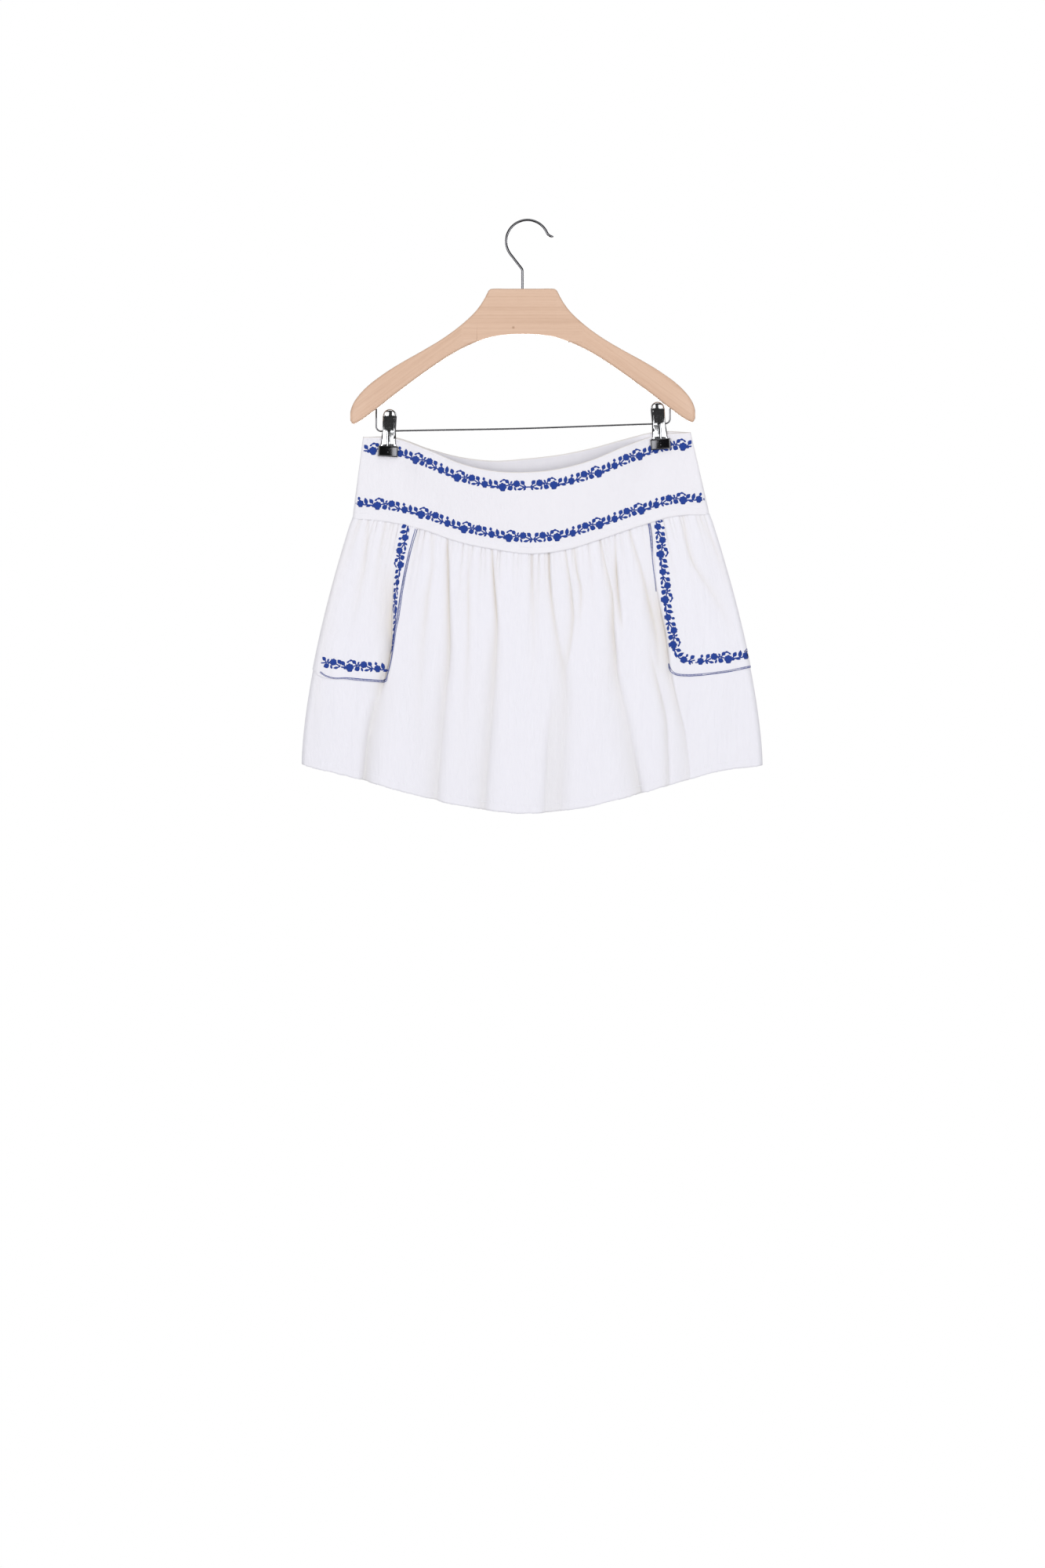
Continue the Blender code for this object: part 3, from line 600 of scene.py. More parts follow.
gathers = {-1: drawGathers(gatherForm["frontCount"]), 1: drawGathers(gatherForm["backCount"])}
folds = {-1: [], 1: []}
for side, table in ((-1, frontFolds), (1, backFolds)):
    for steep, rows in table:
        drops, *columns = np.array(rows).T * mm
        folds[side].append((steep, drops[-1], [curveThrough(drops, column) for column in columns]))


foldForm = {
    "steepness": 1.1,
    "softness": 0.45,                     # how round the bottom of a valley is, as a share of its half width
    "shoulder": (0.10, 3.2, 1.3),         # the low ridge beside it: height as a share, place and width
    "fullShade": 2.3,                     # depth over half width at which the bottom gets its full painted shade
    "ending": 0.02,
}


def foldRelief(side, x, drop):            # how far the folds lower the cloth, and how much shade is painted into its colour there
    relief, shade = np.zeros_like(x), np.zeros_like(x)
    soft = foldForm["softness"]
    ridge, ridgePlace, ridgeWidth = foldForm["shoulder"]
    for steep, last, (pathAt, depthAt, widthAt) in folds[side]:
        off = x - pathAt(drop)
        width = widthAt(drop)
        u = off / (width * np.exp(-foldForm["steepness"] * steep * np.sign(off)))
        depth = depthAt(drop) * (1.0 - ease((drop - last) / foldForm["ending"]))
        valley = np.exp(soft - np.sqrt(u * u + soft**2))
        relief -= depth * valley
        relief += ridge * depth * np.exp(-((np.abs(u) - ridgePlace) / ridgeWidth) ** 2)
        shade += np.clip(depth / width / foldForm["fullShade"], 0.0, 1.0) ** 0.8 * valley**1.3
    return relief, shade


def gatherRelief(side, across, below):
    relief, shade = np.zeros_like(across), np.zeros_like(across)
    half = gatherForm["halfSeam"]
    for place, depth, width, length, lean in gathers[side]:
        off = (across - place) * half - lean * 0.08 * below
        spread = width * (1.0 + below / 0.045)
        swell = depth * np.exp(-((below / length) ** 1.4)) * ease(below / 0.004 + 0.4)
        dip = swell * np.exp(0.22 - np.sqrt((off / spread) ** 2 + 0.05))
        relief -= dip
        # painted shade along the gather's crease
        shade += 0.75 * dip / (3.0 * spread)
    sway = 0.9 * uneven(across * 9, below * 20, 3)
    pleats = np.sin(2 * math.pi * (across * half / gatherForm["pleatPitch"] + sway))
    strength = gatherForm["pleatDepth"] * np.exp(-below / gatherForm["pleatLength"])
    relief += pleats * strength * (0.7 + 0.5 * uneven(across * 30, below * 60, 5))
    relief -= gatherForm["tuck"] * (1.0 - ease(below / 0.005))
    return relief, shade


ripples = {                               # depth, length across, length down, and layer of the noise
    "panelBroad": (1.3, 34.0, 160.0, 9),
    "panelNarrow": (0.45, 11.0, 90.0, 10),
    "crinkle": (0.22, 4.2, 60.0, 11),
    "fineCrinkle": (0.132, 2.3, 28.0, 13),
    "hemPucker": (0.22, 6.5, 20.0, 7),
    "fineFray": (0.45, 1.6, 1000.0, 15),
    "broadFray": (0.5, 11.0, 1000.0, 16),
    "yokeBroad": (0.55, 75.0, 50.0, 21),
    "yokePucker": (0.16, 7.0, 7.0, 23),
    "yokeFine": (0.05, 3.0, 12.0, 25),
    "yokeDrag": (0.16, 6.5, 1000.0, 27),
}


def ripple(name, x, drop):
    depth, wide, tall, layer = ripples[name]
    return depth * mm * uneven(x / (wide * mm), drop / (tall * mm), layer)


hemForm = {
    "depth": 0.0105,
    "step": 0.30 * mm,
    "stitch": 0.30 * mm,
    "stitchHalf": 0.9 * mm,
    "puckerReach": 0.022,
}


def hemRelief(x, above):                  # the turned hem: a second layer, its stitch line and small puckers
    fromFold = above - hemForm["depth"]
    inside = 1.0 - ease(fromFold / 0.0012)
    line = np.exp(-((fromFold + 0.6 * mm) / hemForm["stitchHalf"]) ** 2)
    near = np.exp(-(above / hemForm["puckerReach"]) ** 2)
    return hemForm["step"] * inside - hemForm["stitch"] * line + ripple("hemPucker", x, above) * near


def panelRelief(side, across, down):
    flatPoints = tubePoints(side, across, 1.0 + down)
    x, drop = flatPoints[..., 0], -flatPoints[..., 2]
    height = hemDrop(side, across) - seamDrop(side, across)
    below, above = down * height, (1.0 - down) * height
    relief, shade = foldRelief(side, x, drop + backRise(side, across))
    gathered, gatherShade = gatherRelief(side, across, below)
    broad = ripple("panelBroad", x, drop) + ripple("panelNarrow", x, drop)
    fine = ripple("crinkle", x, drop) + ripple("fineCrinkle", x, drop)
    relief = relief + gathered + broad * ease(below / 0.05) + fine * ease(below / 0.01)
    return relief + hemRelief(x, above), np.clip(shade + gatherShade, 0.0, 1.0)


fineCount = 3000


def evenRow(low, high, columns, uvDown, pointsAt):
    # One row of cloth points with its uv and painted shade, evenly spaced along the cloth itself, so that
    # steep fold walls keep their points
    points, shade = pointsAt(np.linspace(low, high, fineCount))
    steps = np.linalg.norm(np.diff(points, axis=0), axis=1)
    length = np.concatenate([[0.0], np.cumsum(steps)])
    wanted = np.linspace(0.0, length[-1], columns)
    row = np.stack([np.interp(wanted, length, points[:, k]) for k in range(3)], axis=-1)
    uv = np.stack([wanted - length[-1] / 2, np.full(columns, -uvDown)], axis=-1)
    return row, uv, np.interp(wanted, length, shade)


def clothGrid(name, side, made, wall):
    # A grid whose points are laid on the worked-out rows, then given its thickness
    rows, uvs, paintedShades = [np.array(column)[::side] for column in zip(*made)]
    count, columns = rows.shape[:2]
    piece = addGrid(name, columns, count, rows)
    mesh = piece.data
    layer = mesh.uv_layers[0]
    layer.name = "clothUV"
    corner = np.empty(len(mesh.loops), int)
    mesh.loops.foreach_get("vertex_index", corner)
    layer.data.foreach_set("uv", uvs.reshape(-1, 2)[corner].reshape(-1))
    # the painted shade of each point, which the gauze mixes into its colour
    attribute = mesh.attributes.new("valley", "FLOAT", "POINT")
    attribute.data.foreach_set("value", paintedShades.reshape(-1))
    applyModifier(piece, "SOLIDIFY", thickness=wall, offset=0.0)
    bpy.ops.object.shade_smooth()
    return piece


# The gathered skirt panels

panels = {
    "skirt_front": {"side": -1, "columns": 740, "rows": 58, "cut": (0.70, 0.345)},
    "skirt_back": {"side": 1, "columns": 480, "rows": 50, "cut": (0.70, 0.345)},
}
hemRows = [0.962, 0.967, 0.971, 0.976, 0.985, 0.993, 1.0]


def makePanel(node, settings):
    side, last = settings["side"], 0.955
    shares = np.linspace(0.0, last, settings["rows"])
    downs = np.concatenate([shares * (0.62 + 0.38 * shares / last), hemRows])
    made = []
    for down in downs:                    # closer rows near the gathers and at the hem's stitches
        def pointsAt(across):
            relief, shade = panelRelief(side, across, np.full_like(across, down))
            return tubePoints(side, across, 1.0 + down, relief), shade

        row, uv, shade = evenRow(-1.0, 1.0, settings["columns"], down * 0.33, pointsAt)
        frayed = ripple("fineFray", row[:, 0], 3.0) + ripple("broadFray", row[:, 0], 5.0)
        row[:, 2] += frayed * ease((down - 0.985) / 0.015)
        made.append((row, uv, shade))
    piece = clothGrid(f"{node}_cloth", side, made, form["skirtWall"])
    finish(piece, gauze, [node])
    return piece


skirtPieces = {node: makePanel(node, settings) for node, settings in panels.items()}
print("skirt panels made")


# The hip yokes

yokes = {
    "yoke_front": {"side": -1, "columns": 400, "rows": 60},
    "yoke_back": {"side": 1, "columns": 260, "rows": 48},
}
yokeForm = {
    "overlap": 1.6 * mm,                  # over the panel's edge
    "tuckedEdge": 0.20 * mm,
    "seamStrip": 0.0070,                  # the pressed strip above the seam, and its stitches
    "edgeStitch": 0.0030,
    "stitchDepth": 0.22 * mm,
    "stitchHalf": 0.6 * mm,
    "stripStep": 0.28 * mm,
    "puckeredAt": (0.0170, 0.0195),       # where stitching draws the cloth in, from the top and from the seam
    "puckeredHalf": 0.0080,
    "shade": (0.85, 0.12),                # painted shade: strong along the turned top edge, a faint even tint elsewhere
    "cut": (0.455, 0.155),
    "cutArea": 0.0470,
}


def yokeRelief(x, fromTop, fromSeam, pinched):
    def line(distance, place, half):
        return np.exp(-((distance - place) / half) ** 2)

    upper, lower = yokeForm["puckeredAt"]
    bands = line(fromTop, upper, yokeForm["puckeredHalf"]) + line(fromSeam, lower, yokeForm["puckeredHalf"])
    relief = ripple("yokeBroad", x, fromTop) * (1.0 - pinched)
    relief = relief + ripple("yokePucker", x, fromTop) * bands + ripple("yokeFine", x, fromTop)
    for distance, place in ((fromSeam, yokeForm["seamStrip"]), (fromTop, yokeForm["edgeStitch"])):
        relief = relief - yokeForm["stitchDepth"] * line(distance, place, yokeForm["stitchHalf"])
    relief = relief + yokeForm["stripStep"] * (1.0 - ease((fromSeam - yokeForm["seamStrip"]) / 0.001))
    return relief + ripple("yokeDrag", x, 0.0) * np.exp(-fromSeam / 0.014)


def makeYoke(node, settings):
    side, made = settings["side"], []
    for level in np.linspace(0.0, 1.0, settings["rows"]):
        def pointsAt(across):
            height = seamDrop(side, across) - topDrop[side](across)
            x = tubePoints(side, across, level)[:, 0]
            pinched = pinchAt(across, np.full_like(across, level))
            relief = yokeRelief(x, level * height, (1.0 - level) * height, pinched)
            points = tubePoints(side, across, min(level, 0.9999), relief)
            points[:, 2] -= yokeForm["overlap"] * ease((level - 0.9) / 0.1)
            points[:, 1] -= side * yokeForm["tuckedEdge"] * ease((level - 0.98) / 0.02)
            # painted shade along the turned top edge, a faint tint below it
            return points, np.full_like(across, yokeForm["shade"][0 if level == 0 else 1])

        made.append(evenRow(-1.0, 1.0, settings["columns"], level * 0.10, pointsAt))
    piece = clothGrid(f"{node}_cloth", side, made, form["yokeWall"])
    finish(piece, yokeGauze, [node])
    return piece


yokePieces = {node: makeYoke(node, settings) for node, settings in yokes.items()}
print("yokes made")


# The patch pockets, on the front panel's own form. A row of the inner edge is its drop and x, and one of the
# bottom its x and drop, in millimetres.

pockets = {
    "pocket_left": {
        "inner": [(380, -140), (394, -141.2), (424, -149.5), (447, -154.5), (474, -160.5), (507, -165),
                  (534, -169.7), (557, -174), (588, -180.8), (600, -183)],
        "bottom": [(-290, 556), (-265.1, 574.1), (-259.8, 579.1), (-246.3, 582.7), (-209.8, 584.7),
                   (-180.8, 588.2), (-150, 590)],
        "corner": 1.5 * mm, "way": -1, "cut": (0.115, 0.215),
    },
    "pocket_right": {
        "inner": [(375, 153), (394, 157.9), (413, 158.7), (444, 161.2), (477, 165), (507, 170.6),
                  (540, 176.8), (565, 180.2), (600, 181.5)],
        "bottom": [(150, 580), (185.2, 579.5), (193.2, 579.3), (210.2, 579.1), (230.2, 575.7),
                   (260.2, 571.7), (284.2, 568.3), (300, 566)],
        "corner": 11.0 * mm, "way": 1, "cut": (0.115, 0.215),
    },
}
pocketGrid = {"columns": 128, "rows": 96, "lift": 0.95 * mm, "height": 0.2}


def acrossFor(side, x, down):             # the place across that lies at an x, found on the tube
    guesses = np.linspace(-1.0, 1.0, 2001)
    xs = tubePoints(side, guesses, 1.0 + down)[:, 0]
    return np.interp(x, xs, guesses)


def makePocket(node, settings):
    way, radius = settings["way"], settings["corner"]
    innerAt = curveThrough(*np.array(settings["inner"]).T * mm)
    bottomAt = curveThrough(*np.array(settings["bottom"]).T * mm)
    shares = 1.0 - (1.0 - np.linspace(0.0, 1.0, pocketGrid["rows"])) ** 1.25
    made = []
    for share in shares:
        x = innerAt(0.40 + 0.18 * share)
        for _ in range(12):               # settles the row's inner end, whose drop and x need each other
            place = float(acrossFor(-1, x, 0.3 * share))
            bottom = float(bottomAt(x))
            seam = float(seamDrop(-1, place))
            drop = seam + (bottom - seam) * share
            left = max(0.0, radius - bottom + drop)
            x = float(innerAt(drop)) + way * (radius - math.sqrt(max(0.0, radius**2 - left**2)))

        def pointsAt(across):
            flatX = tubePoints(-1, across, 1.0 + 0.55 * share)[:, 0]
            seamAt = seamDrop(-1, across)
            wanted = seamAt + (bottomAt(flatX) - seamAt) * share
            down = (wanted - seamAt) / (hemDrop(-1, across) - seamAt)
            relief, shade = panelRelief(-1, across, down)
            return tubePoints(-1, across, 1.0 + down, relief), shade

        ends = sorted((way * 1.0, float(acrossFor(-1, x, 0.56 * share))))
        made.append(evenRow(*ends, pocketGrid["columns"], share * pocketGrid["height"], pointsAt))
    rows = np.array([row for row, _, _ in made])
    outwards = np.cross(np.gradient(rows, axis=0), np.gradient(rows, axis=1))
    outwards /= np.linalg.norm(outwards, axis=-1, keepdims=True)
    outwards *= np.where(outwards[:, :, 1:2] < 0.3, 1.0, -1.0)
    lift = pocketGrid["lift"] * (0.45 + 0.55 * ease(shares / 0.06))[:, None, None]
    made = [(row, uv, shade) for row, (_, uv, shade) in zip(rows + outwards * lift, made)]
    piece = clothGrid(f"{node}_cloth", -1, made, form["pocketWall"])
    finish(piece, gauze, [node])
    return piece


pocketPieces = {node: makePocket(node, settings) for node, settings in pockets.items()}
print("pockets made")


# Embroidery: raised thread laid on the cloth's own surface

class Ground:                             # the cloth's surface, from the pieces it is made of
    def __init__(self, *pieces):
        self.trees = []
        for piece in pieces:
            points = [vertex.co for vertex in piece.data.vertices]
            faces = [tuple(face.vertices) for face in piece.data.polygons]
            self.trees.append(BVHTree.FromPolygons(points, faces))

    def under(self, spot):                # the nearest place on the cloth, and the way out of it
        return min([tree.find_nearest(Vector(spot)) for tree in self.trees], key=lambda hit: hit[3])[:2]

    def inFront(self, x, z):              # the cloth that the camera sees at an x and height where y is 0
        way = (Vector((x, 0.0, z)) - camera.location).normalized()
        found = [tree.ray_cast(camera.location, way) for tree in self.trees]
        found = [hit for hit in found if hit[0] is not None]
        if not found:
            return self.under((x, -0.02, z))
        spot, normal, _, _ = min(found, key=lambda hit: hit[3])
        return spot, normal if normal.y < 0 else -normal


def smoothed(rows, kind, reach=3):
    padded = np.pad(np.array(rows), ((reach, reach), (0, 0)), mode="reflect", reflect_type=kind)
    blur = np.ones(2 * reach + 1) / (2 * reach + 1)
    return np.stack([np.convolve(padded[:, k], blur, "valid") for k in range(3)], axis=-1)


def stepped(path, closeness):             # the same path, with even steps
    path = np.array(path, float)
    length = np.concatenate([[0.0], np.cumsum(np.linalg.norm(np.diff(path, axis=0), axis=1))])
    wanted = np.arange(0.0, length[-1], closeness)
    return np.stack([np.interp(wanted, length, path[:, k]) for k in range(path.shape[1])], axis=-1)


class Band:                               # a line on the cloth, with places measured along and across it
    def __init__(self, ground, path, side, closeness=0.0012):
        self.ground = ground
        outside = np.array([0.0, side * 1.5 * mm, 0.0])
        spots, normals = zip(*[ground.under(spot + outside) for spot in stepped(path, closeness)])
        self.measure(smoothed(spots, "odd"), smoothed(normals, "even"))

    def measure(self, spots, normals):
        self.spots = spots
        self.normals = normals / np.linalg.norm(normals, axis=1, keepdims=True)
        self.lengths = np.concatenate([[0.0], np.cumsum(np.linalg.norm(np.diff(spots, axis=0), axis=1))])
        self.sides = np.cross(self.normals, np.gradient(spots, axis=0))
        self.sides /= np.linalg.norm(self.sides, axis=1, keepdims=True)
        self.length = self.lengths[-1]

    def between(self, along, rows):
        return [float(np.interp(along, self.lengths, rows[:, k])) for k in range(3)]

    def place(self, along, aside, height):
        if not 0.0 <= along <= self.length:
            return None
        line = self.spots + aside * self.sides + mm * self.normals
        spot, normal = self.ground.under(self.between(along, line))
        return spot + normal * height

    def nearest(self, x):                 # how far along the band lies at an x
        return float(np.interp(x, self.spots[:, 0], self.lengths))


class FaceBand(Band):                     # one on the face, which a fold may narrow, with spare at both ends
    spare = 6.0 * mm

    def __init__(self, ground, line, rounds):
        self.ground = ground
        flat = stepped(np.array(line["line"]) * (mm, -mm), 1.0 * mm)
        before = [flat[0] + (flat[0] - flat[3]) * k / 3 for k in range(6, 0, -1)]
        after = [flat[-1] + (flat[-1] - flat[-4]) * k / 3 for k in range(1, 7)]
        spots = np.array([(x, 0.0, z) for x, z in [*before, *flat, *after]])
        for _ in range(rounds):
            spots = smoothed(spots, "odd")
        self.measure(spots, np.tile((0.0, -1.0, 0.0), (len(spots), 1)))
        self.narrowing = np.array(line.get("narrowing", [(0, 1)])) * (mm, 1)

    def place(self, along, aside, height):
        if not 0.0 <= along <= self.length:
            return None
        share = float(np.interp(along - self.spare, self.narrowing[:, 0], self.narrowing[:, 1]))
        x, _, z = self.between(along, self.spots + aside * share * self.sides)
        spot, normal = self.ground.inFront(x, z)
        return spot + normal * height


class Thread:                             # gathers raised patches and strands into one mesh
    def __init__(self, name):
        self.name = name
        self.points, self.faces, self.stitches = [], [], []

    def add(self, band, rings, start, way, turn, flip):
        # rings are lists of (along, aside, height), the first of them under the cloth
        base = len(self.points)
        made, local = [], []
        for ring in rings:
            for along, aside, height in ring:
                spot = band.place(start + way * along, aside * flip, height)
                if spot is None:
                    return
                made.append(spot)
                cosine, sine = math.cos(turn), math.sin(turn)
                local.append((along * cosine + aside * sine, aside * cosine - along * sine, 0.0))
        self.points += made
        self.stitches += local
        size = len(rings[0])
        faces = [tuple(range(base, base + size))[::-1]]
        for k in range(len(rings) - 1):
            low, high = base + k * size, base + (k + 1) * size
            for i in range(size):
                j = (i + 1) % size
                faces.append((low + i, low + j, high + j, high + i))
        faces.append(tuple(base + (len(rings) - 1) * size + i for i in range(size)))
        if way * flip < 0:
            faces = [face[::-1] for face in faces]
        self.faces += faces

    def build(self, material, slot):
        mesh = bpy.data.meshes.new(self.name)
        mesh.from_pydata(self.points, [], self.faces)
        attribute = mesh.attributes.new("stitch", "FLOAT_VECTOR", "POINT")
        attribute.data.foreach_set("vector", np.array(self.stitches).reshape(-1))
        piece = bpy.data.objects.new(self.name, mesh)
        bpy.context.collection.objects.link(piece)
        only(piece)
        bpy.ops.object.shade_smooth()
        return finish(piece, material)


# Heights above the cloth
threadForm = {"sunk": -0.25 * mm, "edge": 0.16 * mm, "crown": 0.42 * mm, "strandCrown": 0.357 * mm}


def padRings(outline, centre):            # a low padded patch over an outline
    rings = []
    s0, t0 = centre
    for scale, level in ((1.0, "sunk"), (1.0, "edge"), (0.62, "crown")):
        rings.append([(s0 + (s - s0) * scale, t0 + (t - t0) * scale, threadForm[level]) for s, t in outline])
    return rings


def strandRings(path, width):             # a thin strand along a path, as a closed loop of points
    path = np.array(path, float)
    if len(path) > 2:
        steps = np.concatenate([[0.0], np.cumsum(np.linalg.norm(np.diff(path, axis=0), axis=1))])
        smooth = [curveThrough(steps, path[:, k]) for k in range(2)]
        wanted = np.linspace(0.0, steps[-1], max(3, int(steps[-1] / (1.1 * mm)) + 1))
        path = np.stack([curve(wanted) for curve in smooth], axis=-1)
    ways = np.gradient(path, axis=0)
    ways /= np.linalg.norm(ways, axis=1, keepdims=True) + 1e-12
    sides = np.stack([-ways[:, 1], ways[:, 0]], axis=-1)
    rings = []
    for scale, level in ((1.0, "sunk"), (0.9, "edge"), (0.35, "strandCrown")):
        half = width / 2 * scale
        loop = [*(path - sides * half), *(path + sides * half)[::-1]]
        rings.append([(s, t, threadForm[level]) for s, t in loop])
    return rings


def flowerOutline(s, t, radius, petals, pointed):
    outline = []
    for k in range(20):
        angle = 2 * math.pi * k / 20
        reach = radius * (0.90 + 0.10 * math.cos(petals * angle + 0.6))
        reach *= 1.0 + pointed * math.exp(-((angle - 4.9) / 0.42) ** 2)
        outline.append((s + reach * math.cos(angle), t + reach * math.sin(angle)))
    return outline


def leafOutline(s, t, length, width, degrees):
    # The pointed end lies against the way of degrees, and the blunt end towards it
    turn = math.radians(degrees)
    shares = [0.0, 0.14, 0.34, 0.56, 0.76, 0.92, 1.0]
    halves = [0.0, 0.42, 0.86, 1.0, 0.80, 0.40, 0.0]
    right = [((share - 0.5) * length, -half * width / 2) for share, half in zip(shares, halves)]
    left = [((share - 0.5) * length, half * width / 2) for share, half in zip(shares, halves)]
    outline = right + left[-2:0:-1]
    return [(s + u * math.cos(turn) - v * math.sin(turn), t + u * math.sin(turn) + v * math.cos(turn))
            for u, v in outline]


# One repeat of the flowering vine, in millimetres along the band and above its middle

vine = {
    "flowers": [                          # along, above, radius, petals, pointed
        (0.0, -2.2, 5.0, 7, 0.22), (17.8, 2.5, 4.35, 8, 0.0), (35.6, -1.5, 4.25, 7, 0.20),
        (33.2, 4.9, 1.8, 3, 0.3),
    ],
    "leaves": [                           # along, above, length, width, degrees
        (5.2, 5.2, 5.6, 3.6, -35), (9.6, -3.3, 6.4, 4.9, 28), (10.9, 4.1, 3.6, 1.9, 62),
        (15.9, -3.9, 4.6, 2.1, -62), (21.8, -4.4, 5.8, 2.4, 12), (25.4, 3.9, 5.8, 4.0, -42),
        (27.8, -4.3, 4.2, 2.1, 60), (42.4, 1.9, 8.2, 3.7, -72), (49.2, 2.5, 6.2, 3.9, -48),
        (46.0, -3.9, 6.2, 2.1, 14), (51.8, -3.8, 3.4, 1.7, -30), (-2.6, 4.4, 3.4, 1.8, 40),
        (0.8, 6.8, 4.0, 2.0, 14), (4.8, 5.6, 4.0, 1.9, -32), (54.6, -0.6, 3.4, 1.7, 60),
    ],
    "stems": [
        [(0.0, -1.2), (4.1, -0.6), (8.9, 0.9), (13.0, 2.0), (17.8, 2.5)],
        [(17.8, 2.5), (21.2, 0.8), (24.8, -0.8), (28.6, -2.0), (35.6, -1.7)],
        [(35.6, -1.7), (39.8, -2.8), (43.5, -2.6), (48.6, -2.5), (52.8, -2.4), (58.0, -2.2)],
        [(-3.6, 3.6), (-1.8, 5.5), (1.0, 6.6), (4.4, 6.0), (7.0, 3.6), (8.6, 0.9)],
        [(8.9, 0.9), (10.6, 2.2), (10.2, 4.2)],
        [(10.4, -1.8), (12.6, 0.6), (13.8, 2.0)],
        [(26.4, 2.0), (28.4, -0.6), (29.8, -2.0)],
        [(15.9, -2.0), (16.8, 0.6)],
        [(24.0, -3.8), (27.0, -2.0)],
        [(28.0, -3.6), (29.4, -2.0)],
        [(33.6, 3.4), (34.8, 1.2)],
        [(43.0, -0.8), (44.2, -2.5)],
        [(50.8, 0.4), (53.2, -2.2)],
        [(48.4, -3.2), (50.6, -2.5)],
    ],
    "repeat": 58.2,
    "stemWidth": 1.7,
    "leafGrowth": (1.16, 1.36),
    "flowerGrowth": 1.12,
}


def between(path, low, high):             # the stretch of a path whose first coordinate is within two limits
    kept = []
    for (s0, t0), (s1, t1) in zip(path[:-1], path[1:]):
        ends = [0.0, 1.0]
        if abs(s1 - s0) > 1e-9:
            ends = sorted(min(1.0, max(0.0, (limit - s0) / (s1 - s0))) for limit in (low, high))
        elif not low <= s0 <= high:
            continue
        if ends[1] - ends[0] > 1e-3:
            kept += [(s0 + (s1 - s0) * share, t0 + (t1 - t0) * share) for share in ends]
    return [place for k, place in enumerate(kept) if k == 0 or math.dist(place, kept[k - 1]) > 0.2 * mm]


def stitchVine(thread, band, start, way, flip, fromAlong, toAlong):
    # One repeat from start, running forwards or mirrored. Only what lies between the two ends is stitched.
    def patch(s, t, outline, turn):
        if fromAlong <= start + way * s <= toAlong:
            thread.add(band, padRings(outline, (s, t)), start, way, turn, flip)

    for s, t, radius, petals, pointed in vine["flowers"]:
        s, t, radius = s * mm, t * mm, radius * mm * vine["flowerGrowth"]
        patch(s, t, flowerOutline(s, t, radius, petals, pointed), 0.5 + s * 300)
    longer, wider = vine["leafGrowth"]
    for s, t, length, width, degrees in vine["leaves"]:
        s, t = s * mm, t * mm
        outline = leafOutline(s, t, length * longer * mm, width * wider * mm, degrees)
        patch(s, t, outline, math.radians(degrees))
    reach = sorted(((fromAlong - start) * way, (toAlong - start) * way))
    for stem in vine["stems"]:
        path = between([(s * mm, t * mm) for s, t in stem], *reach)
        if len(path) > 1:
            thread.add(band, strandRings(path, vine["stemWidth"] * mm), start, way, 0.4, flip)


bandForm = {
    "upperOffset": 0.0172,                # below the top edge at the centre front
    "upperSideOffset": 0.0150,
    "lowerOffset": 0.0190,                # above the yoke's seam
    "lowerSideOffset": 0.0205,
    "centres": (0.0009, 0.0069),          # x of the mirror in the upper and the lower band
    "firstFlowers": (32.5 * mm, 30.5 * mm),
    "repeats": ((58.2 * mm, 58.2 * mm), (57.6 * mm, 56.0 * mm)),   # leftwards and rightwards from the mirror
    "endGap": 1.5 * mm,
}


def yokeBand(ground, side, upper):
    across = np.linspace(-0.992, 0.992, 700)
    if upper:
        middle, end = bandForm["upperOffset"], bandForm["upperSideOffset"]
        drop = topDrop[side](across) + middle + (end - middle) * across**2
    else:
        middle, end = bandForm["lowerOffset"], bandForm["lowerSideOffset"]
        drop = seamDrop(side, across) - middle - (end - middle) * across**2
    level = (drop - topDrop[side](across)) / (seamDrop(side, across) - topDrop[side](across))
    return Band(ground, tubePoints(side, across, level), side)


def embroiderYoke(side, sideName, upper):
    band = yokeBand(Ground(yokePieces[f"yoke_{sideName}"]), side, upper)
    thread = Thread(f"vine_{'upper' if upper else 'lower'}_{sideName}")
    row = 0 if upper else 1
    centre, first = band.nearest(bandForm["centres"][row]), bandForm["firstFlowers"][row]
    leftwards, rightwards = bandForm["repeats"][row]
    gap = bandForm["endGap"]
    for k in range(-1, 5):
        stitchVine(thread, band, centre - first - k * leftwards, 1, -side, gap, centre)
        stitchVine(thread, band, centre + first + k * rightwards, -1, -side, centre, band.length - gap)
    thread.build(blueThread, "thread")


for side, sideName in ((-1, "front"), (1, "back")):
    embroiderYoke(side, sideName, True)
    embroiderYoke(side, sideName, False)
print("yoke embroidered")

# Each strip of a pocket's vine, in millimetres: the x and drop of its line on the face, how far along its
# first large flower is, and the share of its width that a fold leaves at each place along it

